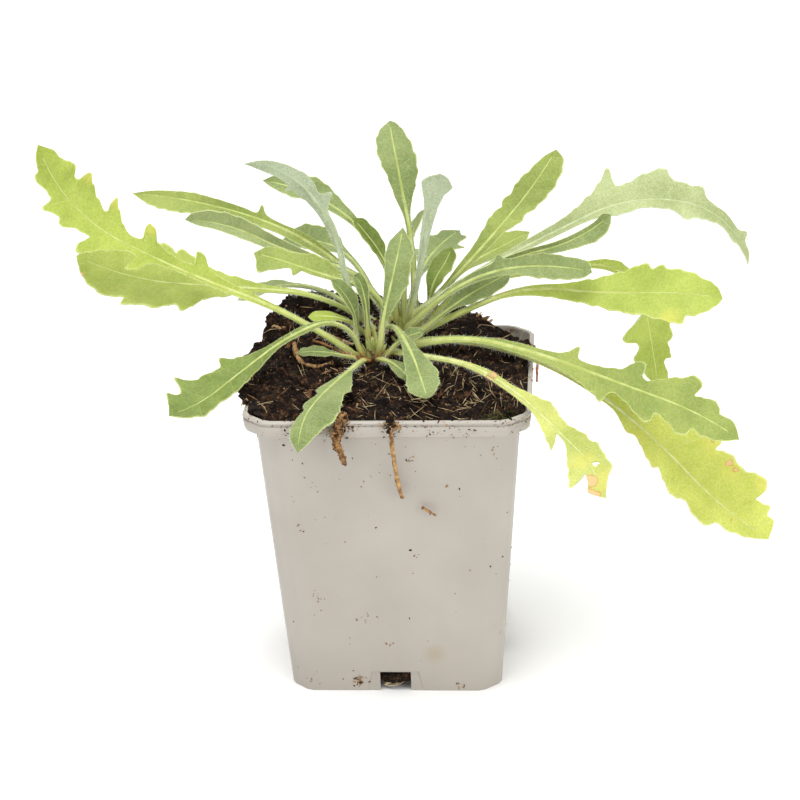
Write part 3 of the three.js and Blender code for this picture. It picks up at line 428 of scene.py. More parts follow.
               (0.87, 3), (0.91, 2.5), (0.935, 5), (0.945, 2.5), (0.975, 2)],
         right=[(0.39, 1.5), (0.5, 2), (0.58, 4.5), (0.635, 3.5), (0.72, 5), (0.745, 7.5), (0.795, 5.5),
                (0.875, 3.5), (0.905, 6), (0.935, 4), (0.975, 2.5)]),
    dict(name="leaf_right_twisted", skin="green", knob=rearKnob, around=343, level=6.4, length=74,
         heading=[-6, 13], rise=[57, 27, 12, 40], roll=[60, 65, 60], fold=26, stalk=1.3,
         left=[(0.545, 1.5), (0.74, 1.5), (0.86, 1.5), (0.93, 1.5), (0.97, 2)],
         right=[(0.645, 1.5), (0.795, 3), (0.86, 4), (0.9, 4.5), (0.96, 3)]),
    dict(name="leaf_right_blue", skin="green", knob=rearKnob, around=291, level=7, length=66,
         heading=[0, -6], rise=[46, 31, 5, -12], roll=[45, 50], fold=14,
         left=[(0.42, 2), (0.52, 3), (0.56, 5.5), (0.58, 3.5), (0.75, 4), (0.9, 3.5), (0.97, 3)],
         right=[(0.42, 1.5), (0.605, 2.5), (0.75, 4.5), (0.92, 4), (0.97, 2.5)]),
    dict(name="leaf_right_dark", skin="green", knob=rearKnob, around=308, level=4.5, length=37,
         heading=[10, 20], rise=[34, 35, 25, 21], roll=[40, 45], fold=12,
         left=dict(start=0.25, widest=0.65, reach=4),
         right=dict(start=0.3, widest=0.7, reach=4.4, teeth=4, bite=0.4)),
    dict(name="leaf_right_broad", skin="bright", knob=rearKnob, around=350, level=3.5, length=101,
         heading=[-10, -3, -6], rise=[31, 24, -6, 3, -9], roll=[40, 40, 45], fold=5,
         left=[(0.39, 1.5), (0.48, 2), (0.55, 4), (0.66, 7), (0.71, 8.5), (0.76, 10), (0.775, 8.5),
               (0.805, 9.5), (0.82, 8.5), (0.87, 8.5), (0.935, 6), (0.975, 4)],
         right=[(0.445, 3), (0.555, 4.5), (0.62, 6), (0.655, 7.5), (0.675, 7), (0.715, 8.5), (0.735, 8),
                (0.81, 10), (0.88, 11), (0.89, 8.5), (0.92, 8), (0.985, 3)],
         marks=[("dry", 0.3, 0.9, 1.0), ("dry", 0.24, 0.8, 0.8), ("yellow", 0.84, -9.4, 4)]),
    dict(name="leaf_right_drooping", skin="bright", knob=rearKnob, around=13, level=3, length=120,
         heading=[13, 16, 18], rise=[61, 5, 1, -80, -81], roll=[40, 50, 80], fold=8, stalk=1.3,
         left=[(0.4, 1.2), (0.44, 3.4), (0.47, 1.4), (0.52, 1.5), (0.56, 2.6), (0.6, 3.4), (0.63, 3), (0.7, 5),
               (0.765, 7), (0.815, 8), (0.865, 8), (0.87, 6.5), (0.915, 6.5), (0.915, 4), (0.975, 4)],
         right=[(0.5, 1.2), (0.6, 1.2), (0.695, 2), (0.77, 1.5), (0.78, 7.5), (0.8, 12), (0.82, 10),
               (0.835, 6), (0.855, 6), (0.88, 8.5), (0.945, 4)]),
    dict(name="leaf_right_lobed", skin="fresh", knob=rearKnob, around=293, level=1.5, length=113,
         heading=[-7, -17, -30], rise=[17, -9, -16, -12, -26], roll=[40, 45, 40], fold=5, stalk=1.9,
         left=[(0.3, 2), (0.39, 2), (0.44, 3), (0.475, 6.5), (0.485, 3), (0.51, 2.5), (0.61, 5),
               (0.645, 9), (0.67, 8.5), (0.675, 4.5), (0.69, 4), (0.78, 9), (0.815, 11), (0.835, 9),
               (0.83, 5), (0.87, 6.5), (0.905, 5.5), (0.915, 3.5), (0.945, 4), (0.975, 2.5)],
         right=[(0.325, 2), (0.455, 3), (0.56, 6.5), (0.595, 8.5), (0.61, 4), (0.675, 6.5), (0.73, 9.5),
                (0.75, 9), (0.75, 5.5), (0.8, 7), (0.84, 9), (0.865, 8), (0.87, 5.5), (0.91, 6),
                (0.965, 4)]),
    dict(name="leaf_right_hanging", skin="yellowing", knob=rearKnob, around=325, level=1.5, length=135,
         heading=[-18, -8, -12], rise=[10, -16, -38, -47, -30], roll=[35, 45, 30], fold=5,
         left=[(0.4, 4), (0.48, 4), (0.555, 7), (0.625, 9.5), (0.705, 13.5), (0.745, 17.5), (0.76, 15.5),
               (0.76, 13), (0.805, 16), (0.855, 15.5), (0.895, 18.5), (0.925, 18), (0.935, 15),
               (0.925, 10), (0.965, 11), (0.97, 7.5), (0.99, 6.5)],
         right=[(0.455, 1.2), (0.515, 1.5), (0.565, 4.5), (0.595, 4), (0.645, 7.5), (0.67, 8.5),
                (0.68, 7), (0.725, 10), (0.765, 10), (0.775, 8.5), (0.84, 10.5), (0.86, 10), (0.875, 6.5),
                (0.9, 7), (0.965, 3.5)],
         marks=[("dry", 0.745, 15.6, 1.6), ("dry", 0.835, 13.8, 1.5), ("dry", 0.812, 13, 1.2), ("dry", 0.9, -2.7, 0.7),
                ("yellow", 0.74, 14, 5), ("yellow", 0.825, 12.5, 5), ("yellow", 0.6, -6, 5), ("yellow", 0.66, -10.5, 5),
                ("yellow", 0.92, 16.5, 4)]),
    dict(name="leaf_right_withered", skin="withered", knob=frontKnob, around=346, level=2, length=112,
         heading=[-34, -51, -69], rise=[4, 6, -9, -15, -8, -35], roll=[30, 30, 20], fold=8,
         left=[(0.38, 1.5), (0.475, 1.5), (0.52, 2.5), (0.56, 3.5), (0.615, 5), (0.635, 4.5), (0.655, 4),
               (0.71, 3.5), (0.785, 5), (0.82, 5), (0.84, 6), (0.865, 5.5), (0.92, 5.5), (0.945, 3),
               (0.975, 1.2)],
         right=[(0.43, 1.2), (0.525, 1.2), (0.6, 1.5), (0.705, 4.5), (0.76, 6), (0.73, 3.5), (0.7, 1.2),
                (0.755, 1.2), (0.835, 5), (0.94, 8.5), (0.93, 6.5), (0.915, 4.5), (0.9, 2.5), (0.935, 3),
                (0.97, 4)],
         marks=[("dry", 0.392, 0, 2), ("yellow", 0.86, -1, 4), ("yellow", 0.95, 1.6, 5),
                ("dry", 0.935, -2, 2.4), ("dry", 0.985, -4.2, 3.2), ("hole", 0.889, 1.8, 1.2)]),
]


def along(values, share):
    return np.interp(share, np.linspace(0, 1, len(values)), values)


def leafFrames(leaf, share):
    heading, rise, roll = (np.radians(along(leaf[key], share)) for key in ("heading", "rise", "roll"))
    flat = np.zeros_like(heading)
    forward = np.stack([np.cos(rise) * np.cos(heading), np.cos(rise) * np.sin(heading), np.sin(rise)], -1)
    level = np.stack([-np.sin(heading), np.cos(heading), flat], -1)
    above = np.cross(forward, level)
    side = level * np.cos(roll)[:, None] + above * np.sin(roll)[:, None]
    up = above * np.cos(roll)[:, None] - level * np.sin(roll)[:, None]
    return forward, side, up


def leafSpine(leaf, values):  # the midrib, walked in small steps from the crown
    knob = leaf["knob"]
    stalk = leaf.get("stalk", values["stalkHalfWidth"])
    steep = abs(math.sin(math.radians(leaf["rise"][0])))
    turned = abs(math.sin(math.radians(leaf["heading"][0] - leaf["around"])))
    standOff = values["seatGap"] + steep * values["stalkHeight"] / 2 + turned * stalk * values["stalkFlare"]
    radius = knob["radius"] - knob["taper"] * leaf["level"] + standOff
    angle = math.radians(leaf["around"])
    foot = [knob["x"] + radius * math.cos(angle), knob["y"] + radius * math.sin(angle), knob["z"] + leaf["level"]]
    steps = 120
    forward = leafFrames(leaf, (np.arange(steps) + 0.5) / steps)[0]
    path = np.vstack([[foot], foot + np.cumsum(forward * leaf["length"] / steps, axis=0)])
    shares = np.linspace(0, 1, steps + 1)
    return lambda share: np.stack([np.interp(share, shares, path[:, k]) for k in range(3)], -1)


def ovalMargin(start, widest, reach, teeth=0, bite=0.9):
    steps = max(teeth * 2, 7)
    points = []
    for i in range(1, steps):
        share = start + (1 - start) * i / steps
        if share < widest:
            half = math.sin((share - start) / (widest - start) * math.pi / 2) ** 1.3
        else:
            half = math.sqrt(max(1 - ((share - widest) / (1 - widest)) ** 2.4, 0))
        tooth = bite if teeth and i % 2 == 0 else 0
        points.append((share, max(reach * half - tooth, 1.2)))
    return points


def smoothLine(points, spacing):  # a rounded line through the points, cut at even spacing
    points = np.asarray(points, float)
    padded = np.vstack([2 * points[0] - points[1], points, 2 * points[-1] - points[-2]])
    fine = []
    for a, b, c, d in zip(padded, padded[1:], padded[2:], padded[3:]):
        knots = np.cumsum([0, *(max(np.linalg.norm(q - p), 1e-6) ** 0.5 for p, q in ((a, b), (b, c), (c, d)))])
        t = np.linspace(knots[1], knots[2], 12, endpoint=False)[:, None]
        ab = (a * (knots[1] - t) + b * t) / knots[1]
        bc = (b * (knots[2] - t) + c * (t - knots[1])) / (knots[2] - knots[1])
        cd = (c * (knots[3] - t) + d * (t - knots[2])) / (knots[3] - knots[2])
        left = (ab * (knots[2] - t) + bc * t) / knots[2]
        right = (bc * (knots[3] - t) + cd * (t - knots[1])) / (knots[3] - knots[1])
        fine.append((left * (knots[2] - t) + right * (t - knots[1])) / (knots[2] - knots[1]))
    fine = np.vstack([*fine, points[-1:]])
    travel = np.r_[0, np.cumsum(np.linalg.norm(np.diff(fine, axis=0), axis=1))]
    stations = np.linspace(0, travel[-1], max(int(travel[-1] / spacing), 12))
    return np.stack([np.interp(stations, travel, fine[:, k]) for k in range(2)], -1)


def leafMargin(leaf, turn, values):  # millimetres along the leaf and out from the midrib
    stalk = leaf.get("stalk", values["stalkHalfWidth"]) * values["stalkSlim"]
    listed = leaf["left"] if turn > 0 else leaf["right"]
    blades = ovalMargin(**listed) if isinstance(listed, dict) else listed
    line = [(0, stalk * values["stalkFlare"]), (blades[0][0] * 0.6, stalk), *blades, (1, 0)]
    edge = smoothLine([(share * leaf["length"], reach) for share, reach in line], values["stationSpacing"])
    travel = np.r_[0, np.cumsum(np.linalg.norm(np.diff(edge, axis=0), axis=1))]
    phase = (travel / values["toothSpacing"] + leaf["length"] * 0.37 + turn * 0.2) % 1
    tooth = np.where(phase < 0.72, phase / 0.72, (1 - phase) / 0.28) - 0.5  # small teeth that lean forward
    edge[:, 1] += tooth * values["toothDepth"] * np.clip((edge[:, 1] - 2) / 3, 0, 1)
    return edge


def leafSurface(leaf, spine, values, distance, reach, turn):
    # Places on the leaf, in millimetres: distance along it, and reach out from the midrib.
    share = np.clip(distance / leaf["length"], 0, 1)
    side, up = leafFrames(leaf, share)[1:]
    out = np.abs(reach)
    fold = math.tan(math.radians(leaf.get("fold", 12)))
    lift = out * fold * np.minimum(share / values["foldStart"], 1)
    lift = lift + leaf.get("wave", 0.6) * out / 8 * np.sin(share * 19 + (0 if turn > 0 else 2))
    return spine(share) + side * reach[:, None] + up * lift[:, None], up


def leafMarks(leaf, distance, reach):  # how dry, how yellow and how torn the leaf is, point by point
    marks = np.zeros((len(distance), 3))
    for kind, share, out, size in leaf.get("marks", []):
        layer = ("dry", "yellow", "hole").index(kind)
        away = np.hypot(distance - share * leaf["length"], reach - out) / size
        amount = away < 1 if kind == "hole" else np.clip(1.4 - away, 0, 1)
        marks[:, layer] = np.maximum(marks[:, layer], amount)
    return marks


def leafHalf(leaf, spine, turn, values):
    edge = leafMargin(leaf, turn, values)
    length = leaf["length"]
    keys = edge[:, 0] - values["veinSlant"] * edge[:, 1]
    keys = np.minimum.accumulate(keys[::-1])[::-1]  # a lobe that leans forward is fed from behind its bay
    keys = np.clip(keys, 0, length)
    keys[0], keys[-1] = 0, length
    columns = values["columns"]
    across = np.linspace(0, 1, columns + 1)
    if turn < 0:
        across = across[::-1]
    distance = keys[:, None] + (edge[:, :1] - keys[:, None]) * across
    reach = edge[:, 1:] * across * turn
    points, up = leafSurface(leaf, spine, values, distance.ravel(), reach.ravel(), turn)
    spread = np.tile(across, len(edge))
    rib = np.repeat(keys, columns + 1)
    wide = np.clip((np.abs(np.repeat(edge[:, 1], columns + 1)) - 2) / 4, 0, 1)
    phase = rib / values["veinSpacing"] * 2 * np.pi + (0 if turn > 0 else np.pi)
    quilt = -values["quilt"] * np.cos(phase) * 4 * spread * (1 - spread) * wide
    ripple = np.sin(distance.ravel() / values["edgeRippleLength"] * 2 * np.pi + leaf["length"]) * spread ** 3
    points = points + up * (quilt + values["edgeRipple"] * ripple * wide)[:, None]
    shape = (len(edge), columns + 1, 3)
    place = np.stack([rib, reach.ravel(), spread], -1).reshape(shape)
    marks = leafMarks(leaf, distance.ravel(), reach.ravel())
    half = addGrid("half", points.reshape(shape) * mm + potAxis, leafPlace=place, leafMarks=marks.reshape(shape))
    torn = np.empty(len(half.data.vertices) * 3)
    half.data.attributes["leafMarks"].data.foreach_get("vector", torn)
    if pickFaces(half, lambda face: torn[2::3][list(face.vertices)].mean() > 0.6):
        editPicked((bpy.ops.mesh.delete, dict(type="FACE")))
    inEditMode(half, (bpy.ops.mesh.remove_doubles, dict(threshold=2e-5)))
    return half


def stalkFoot(leaf, spine, steps=7):  # the stalk's hidden end, bent down into the heart of the crown
    knob = leaf["knob"]
    angle = math.radians(leaf["around"])
    foot = spine(np.zeros(1))[0]
    back = -leafFrames(leaf, np.zeros(1))[0][0]
    heart = np.array([knob["x"] + 1.6 * math.cos(angle), knob["y"] + 1.6 * math.sin(angle), knob["z"] - 3])
    t = np.linspace(0, 1, steps, endpoint=False)[:, None]
    bends = [heart, heart + [0, 0, 2.5], foot + back * 2.5, foot]
    return sum(math.comb(3, k) * t ** k * (1 - t) ** (3 - k) * bends[k] for k in range(4))


def leafHairs(leaf, spine, path, wide, high, bladeStart, margins, values):
    # Where each hair of a leaf stands, which way it points, and its length; millimetres.
    share = np.linspace(0, values["ribEnd"], len(path))
    forward, side, up = leafFrames(leaf, share)
    hairy = bladeStart + 0.18
    count = int(leaf["length"] * hairy * values["stalkHairs"])
    place = rng.uniform(0, hairy / values["ribEnd"], count)
    at = place * (len(path) - 1)
    low = np.minimum(at.astype(int), len(path) - 2)
    angle = rng.uniform(0, 2 * np.pi, (count, 1))
    centre = path[low] + (path[low + 1] - path[low]) * (at - low)[:, None]
    rim = side[low] * np.cos(angle) * wide[low, None] + up[low] * np.sin(angle) * high[low, None]
    away = side[low] * np.cos(angle) + up[low] * np.sin(angle)
    spots = [centre + rim]
    ways = [away + forward[low] * 0.35 + rng.normal(0, 0.28, (count, 3))]
    lengths = [rng.uniform(0.8, 2.1, count) * np.interp(place, [0, bladeStart, hairy], [1, 0.8, 0.25])]
    for turn, edge in margins:
        count = int(len(edge) * values["stationSpacing"] * values["edgeHairs"])
        at = rng.integers(2, len(edge) - 2, count)
        points, lift = leafSurface(leaf, spine, values, edge[at, 0], edge[at, 1] * turn, turn)
        ahead, beside = leafFrames(leaf, np.clip(edge[at, 0] / leaf["length"], 0, 1))[:2]
        spots.append(points)
        spread = lift * rng.normal(0, 0.5, (count, 1)) + rng.normal(0, 0.15, (count, 3))
        ways.append(beside * turn + ahead * 0.5 + spread)
        lengths.append(rng.uniform(0.25, 0.65, count))
    return np.vstack(spots), np.vstack(ways), np.concatenate(lengths)


def standing(spots, ways, lengths, radii):  # matrices that stand a unit pattern up at each spot
    ways = ways / np.linalg.norm(ways, axis=1, keepdims=True)
    first = np.cross(ways, rng.normal(0, 1, ways.shape))
    first /= np.linalg.norm(first, axis=1, keepdims=True)
    second = np.cross(ways, first)
    matrices = np.zeros((len(spots), 4, 4))
    matrices[:, :3, 0] = first * (radii * mm)[:, None]
    matrices[:, :3, 1] = second * (radii * mm)[:, None]
    matrices[:, :3, 2] = ways * (lengths * mm)[:, None]
    matrices[:, :3, 3] = spots * mm + potAxis
    matrices[:, 3, 3] = 1
    return matrices


def makeLeaf(leaf, values, skins, hairPattern):
    spine = leafSpine(leaf, values)
    length = leaf["length"]
    stalk = leaf.get("stalk", values["stalkHalfWidth"]) * values["stalkSlim"]
    halves = [leafHalf(leaf, spine, turn, values) for turn in (1, -1)]
    upper, under, rib, hair = skins[leaf["skin"]]
    for half in halves:
        half.data.materials.append(upper)
        half.data.materials.append(under)
        applyModifier(half, "SOLIDIFY", thickness=values["bladeThickness"] * mm, offset=0, material_offset=1)
    bladeStart = min((leaf[s]["start"] if isinstance(leaf[s], dict) else leaf[s][0][0]) for s in ("left", "right"))
    share = np.linspace(0, values["ribEnd"], max(int(length / 1.5), 16))
    wide = np.interp(share, [0, bladeStart * 0.9, bladeStart + 0.2, 1], [stalk * 1.2, stalk * 0.85, stalk * 0.5, 0.17])
    high = np.interp(share, [0, bladeStart, bladeStart + 0.2, 1], [0.85, 0.72, 0.46, 0.2])
    up = leafFrames(leaf, share)[2]
    path = spine(share) - up * (high - 0.4)[:, None] * 0.5
    foot = stalkFoot(leaf, spine)
    whole = np.vstack([foot + (path[0] - spine(np.zeros(1))[0]), path])
    widths = np.r_[np.linspace(1, stalk * 1.2, len(foot), endpoint=False), wide]
    heights = np.r_[np.full(len(foot), high[0]), high]
    distance = np.r_[np.linspace(-9, 0, len(foot), endpoint=False), share * length]
    stalkShare = np.interp(distance / length, [bladeStart, bladeStart + 0.15], [1, 0])
    place = np.stack([distance, 0 * distance, stalkShare], -1)
    marks = leafMarks(leaf, distance, 0 * distance)
    lift = np.vstack([np.tile(up[0], (len(foot), 1)), up])
    tube = addTube("rib", whole * mm + potAxis, widths * mm, 12, heights / widths, lift,
                   leafPlace=place, leafMarks=marks)
    tube.data.materials.append(rib)
    margins = [(turn, leafMargin(leaf, turn, values)) for turn in (1, -1)]
    spots, ways, lengths = leafHairs(leaf, spine, path, wide, high, bladeStart, margins, values)
    coat = scatter("hairs", hairPattern, standing(spots, ways, lengths, np.full(len(spots), values["hairRadius"])), hair)
    return joinAll(leaf["name"] + "_dressed", [*halves, tube, coat])


skinValues = dict(  # living leaf: upper face, lower face, midrib, each with its shaded tone; then the bloom
    bright=dict(upper=("#abba52", "#98a842"), under=("#b7c278", "#a5b265"), rib=("#d2d886", "#b6c062"), bloom=0.1),
    yellowing=dict(upper=("#c7ce60", "#b5bf50"), under=("#c2c97c", "#b2ba69"), rib=("#e3e4a6", "#cbcf80"), bloom=0.1),
    fresh=dict(upper=("#98a550", "#849443"), under=("#a7b474", "#96a463"), rib=("#d0d886", "#b4bf62"), bloom=0.2),
    # broad: the bright skin's tones made darker, to paint the shade that falls on leaf_left_broad
    broad=dict(upper=("#a3b04e", "#909e3e"), under=("#a9b56e", "#98a55c"), rib=("#cfd688", "#b2be68"), bloom=0.1),
    green=dict(upper=("#819054", "#6d7d42"), under=("#98a677", "#869566"), rib=("#c8d183", "#a9b560"), bloom=0.3),
    deep=dict(upper=("#788a3c", "#63752c"), under=("#93a16a", "#828f58"), rib=("#c9d184", "#a9b461"), bloom=0.12),
    soft=dict(upper=("#96a368", "#84925a"), under=("#a3b080", "#929f70"), rib=("#ccd48c", "#aeb969"), bloom=0.4),
    pale=dict(upper=("#adb87e", "#9ba76c"), under=("#bcc49e", "#abb58b"), rib=("#d2d9ac", "#b7c18c"), bloom=0.8),
    silver=dict(upper=("#a6b28c", "#939f78"), under=("#b0bb9a", "#9eaa88"), rib=("#c4ceab", "#a8b48a"), bloom=0.8),
    withered=dict(upper=("#c0c566", "#aab356"), under=("#bec57a", "#acb569"), rib=("#dbde98", "#c2c878"), bloom=0.2),
)
markTones = dict(yellow="#cfc75c", dry="#d8b27a", scorched="#a87a42")


def withMarks(tree, at, colour, centre, strength):  # the leaf's colour, turned yellow or dry where the leaf is marked so
    marks = addNode(tree, "Attribute", attribute_name="leafMarks").outputs["Vector"]
    parts = addNode(tree, "SeparateXYZ", {"Vector": marks})
    ragged = addNode(tree, "TexNoise", {"Vector": at, "Scale": 650, "Detail": 3})  # 1.5 mm ragged borders
    border = addNode(tree, "MapRange", {"Value": ragged.outputs["Fac"], "To Min": -0.45, "To Max": 0.45})
    yellowAt = addNode(tree, "Math", {0: parts.outputs["Y"], 1: border.outputs[0]}, operation="ADD")
    yellowShare = addNode(tree, "MapRange", {"Value": yellowAt.outputs[0], "From Min": 0.2, "From Max": 1.2,
                                             "To Max": 0.6})
    yellow = addNode(tree, "Mix", {0: yellowShare.outputs[0], 6: colour, 7: markTones["yellow"]}, data_type="RGBA")
    dryAt = addNode(tree, "Math", {0: parts.outputs["X"], 1: border.outputs[0]}, operation="ADD")
    dryShare = addNode(tree, "MapRange", {"Value": dryAt.outputs[0], "From Min": 0.3, "From Max": 0.6,
                                          "To Max": strength})
    dryTone = addNode(tree, "ValToRGB", {"Fac": dryAt.outputs[0]},
                      stops=[(0.3, markTones["yellow"]), (0.62, centre), (0.5, markTones["scorched"])])
    dry = addNode(tree, "Mix", {0: dryShare.outputs[0], 6: yellow.outputs[2], 7: dryTone.outputs["Color"]},
                  data_type="RGBA")
    return dry.outputs[2]


def leafSkin(name, tones, veinShare, bloomShare):
    # Living leaf, soft and matt: a net of paler veins, faint mottling and a bloom of short hairs.
    material, tree, shader = startMaterial(name)
    place = addNode(tree, "Attribute", attribute_name="leafPlace").outputs["Vector"]
    parts = addNode(tree, "SeparateXYZ", {"Vector": place})
    at = addNode(tree, "TexCoord").outputs["Object"]
    patches = addNode(tree, "TexNoise", {"Vector": at, "Scale": 70, "Detail": 3})  # 14 mm patches
    mottle = addNode(tree, "TexNoise", {"Vector": at, "Scale": 1500, "Detail": 3})  # 0.7 mm mottling
    tone = addNode(tree, "ValToRGB", {"Fac": patches.outputs["Fac"]}, stops=[(0.38, tones[1]), (0.62, tones[0])])
    jitter = addNode(tree, "MapRange", {"Value": patches.outputs["Fac"], "To Min": -1.2, "To Max": 1.2})
    shifted = addNode(tree, "Math", {0: parts.outputs["X"], 1: jitter.outputs[0]}, operation="ADD")
    sideStep = addNode(tree, "Math", {0: parts.outputs["Y"], 1: 0}, operation="LESS_THAN")
    half = addNode(tree, "Math", {0: sideStep.outputs[0], 1: leafValues["veinSpacing"] / 2}, operation="MULTIPLY")
    placed = addNode(tree, "Math", {0: shifted.outputs[0], 1: half.outputs[0]}, operation="ADD")
    spaced = addNode(tree, "Math", {0: placed.outputs[0], 1: leafValues["veinSpacing"]}, operation="PINGPONG")
    vein = addNode(tree, "MapRange", {"Value": spaced.outputs[0], "From Min": 0.05, "From Max": 0.4,
                                      "To Min": 1, "To Max": 0}, interpolation_type="SMOOTHSTEP")
    net = addNode(tree, "TexVoronoi", {"Vector": at, "Scale": 480}, feature="DISTANCE_TO_EDGE")  # 2 mm cells
    netLine = addNode(tree, "MapRange", {"Value": net.outputs["Distance"], "From Min": 0.0, "From Max": 0.14,
                                         "To Min": 0.55, "To Max": 0})
    veins = addNode(tree, "Math", {0: vein.outputs[0], 1: netLine.outputs[0]}, operation="MAXIMUM")
    share = addNode(tree, "Math", {0: veins.outputs[0], 1: veinShare}, operation="MULTIPLY")
    veined = addNode(tree, "Mix", {0: share.outputs[0], 6: tone.outputs["Color"], 7: tones[2]}, data_type="RGBA")
    rim = addNode(tree, "MapRange", {"Value": parts.outputs["Z"], "From Min": 0.93, "From Max": 1,
                                     "To Min": 0, "To Max": 0.7})
    edged = addNode(tree, "Mix", {0: rim.outputs[0], 6: veined.outputs[2], 7: tones[2]}, data_type="RGBA")
    mottling = addNode(tree, "MapRange", {"Value": mottle.outputs["Fac"], "From Min": 0.25, "From Max": 0.75,
                                          "To Min": 0.86, "To Max": 1.13})
    mottled = addNode(tree, "Mix", {0: 1.0, 6: edged.outputs[2], 7: mottling.outputs[0]}, data_type="RGBA",
                      blend_type="MULTIPLY")
    down = addNode(tree, "TexVoronoi", {"Vector": at, "Scale": 2100})  # hairs 0.5 mm apart, drawn as dots
    dots = addNode(tree, "MapRange", {"Value": down.outputs["Distance"], "From Min": 0.1, "From Max": 0.5,
                                      "To Min": 0.5 * bloomShare, "To Max": 0})
    bloomed = addNode(tree, "Mix", {0: dots.outputs[0], 6: mottled.outputs[2], 7: "#dfe6cd"}, data_type="RGBA")
    bumps = addNode(tree, "Math", {0: mottle.outputs["Fac"], 1: veins.outputs[0]}, operation="SUBTRACT")
    bump = addNode(tree, "Bump", {"Height": bumps.outputs[0], "Strength": 0.4, "Distance": 0.0003})
    finish(tree, shader, {"Base Color": withMarks(tree, at, bloomed.outputs[2], markTones["dry"], 1), "Roughness": 0.58,
                          "Normal": bump.outputs[0], "Sheen Weight": 0.03, "Sheen Roughness": 0.4,
                          "Subsurface Weight": 0.06, "Subsurface Scale": 0.0006, "Specular IOR Level": 0.28})
    return material


def ribSkin(name, tones, flank):
    # Midrib and stalk: juicy pale tissue on top and greener flanks, with fine grooves along it.
    material, tree, shader = startMaterial(name)
    place = addNode(tree, "Attribute", attribute_name="leafPlace").outputs["Vector"]
    parts = addNode(tree, "SeparateXYZ", {"Vector": place})
    at = addNode(tree, "TexCoord").outputs["Object"]
    patches = addNode(tree, "TexNoise", {"Vector": at, "Scale": 260, "Detail": 3})  # 4 mm patches
    tone = addNode(tree, "ValToRGB", {"Fac": patches.outputs["Fac"]}, stops=[(0.35, tones[1]), (0.65, tones[0])])
    aside = addNode(tree, "Math", {0: parts.outputs["Y"]}, operation="ABSOLUTE")
    flankShare = addNode(tree, "MapRange", {"Value": aside.outputs[0], "From Min": 0.4, "From Max": 0.9,
                                            "To Max": 0.65})
    stalkFlank = addNode(tree, "Math", {0: flankShare.outputs[0], 1: parts.outputs["Z"]}, operation="MULTIPLY")
    flanked = addNode(tree, "Mix", {0: stalkFlank.outputs[0], 6: tone.outputs["Color"], 7: flank}, data_type="RGBA")
    down = addNode(tree, "MapRange", {"Value": parts.outputs["X"], "From Min": -9, "From Max": 16})
    base = addNode(tree, "ValToRGB", {"Fac": down.outputs[0]},
                   stops=[(0.04, "#7d5236"), (0.5, "#c6cb7c"), (0.18, "#a8854f"), (0.3, "#bfbf72")])
    fade = addNode(tree, "MapRange", {"Value": parts.outputs["X"], "From Min": 1, "From Max": 14})
    pale = addNode(tree, "Mix", {0: fade.outputs[0], 6: base.outputs["Color"], 7: flanked.outputs[2]},
                   data_type="RGBA")
    groove = addNode(tree, "Math", {0: parts.outputs["Y"], 1: 14}, operation="MULTIPLY")  # seven ridges across
    ridges = addNode(tree, "Math", {0: groove.outputs[0]}, operation="SINE")
    height = addNode(tree, "Math", {0: ridges.outputs[0], 1: patches.outputs["Fac"]}, operation="ADD")
    bump = addNode(tree, "Bump", {"Height": height.outputs[0], "Strength": 0.35, "Distance": 0.0003})
    finish(tree, shader, {"Base Color": withMarks(tree, at, pale.outputs[2], markTones["scorched"], 0.6), "Roughness": 0.5,
                          "Normal": bump.outputs[0], "Sheen Weight": 0.05, "Subsurface Weight": 0.1,
                          "Subsurface Scale": 0.0008, "Specular IOR Level": 0.35})
    return material


def hairSkin():
    # Plant hair: single clear cells that read as white.
    material, tree, shader = startMaterial("white_plant_hair")
    at = addNode(tree, "TexCoord").outputs["Object"]
    speckle = addNode(tree, "TexNoise", {"Vector": at, "Scale": 1500})
    tone = addNode(tree, "ValToRGB", {"Fac": speckle.outputs["Fac"]}, stops=[(0.3, "#e6ebdc"), (0.7, "#fafbf6")])
    finish(tree, shader, {"Base Color": tone.outputs["Color"], "Roughness": 0.4})
    return material


bpy.ops.mesh.primitive_cone_add(vertices=3, radius1=1, radius2=0, depth=1, location=(0, 0, 0.5))
hairPattern = bpy.context.object
bpy.ops.object.transform_apply(location=True, rotation=True, scale=True)
hairs = hairSkin()
skins = {}
for kind, tones in skinValues.items():
    bloom = tones["bloom"]
    skins[kind] = (
        leafSkin("leaf_upper_" + kind, (*tones["upper"], tones["rib"][0]), 0.16, bloom),
        leafSkin("leaf_under_" + kind, (*tones["under"], tones["rib"][0]), 0.32, (1 + bloom) / 2),
        ribSkin("leaf_midrib_" + kind, tones["rib"], tones["upper"][0]),
        hairs,
    )
for leaf in leaves:
    dressed = makeLeaf(leaf, leafValues, skins, hairPattern)
    pickOnly(dressed)
    bpy.ops.object.shade_smooth_by_angle(angle=math.radians(60))
    mountOn(dressed, "leaf", leaf["name"])
bpy.data.objects.remove(hairPattern)
print("leaves are made:", len(leaves))


# Pot: injection-moulded polypropylene

potValues = dict(
    edgeRadius=0.35, beadHeight=1.1, grooveHeight=0.6, grooveDepth=0.25,
    grey="#b0a99f", shade="#a69f95", smear="#6d4a30", stainPlace=(13.1, -36, 13.7), stain="#a08a5c",
)


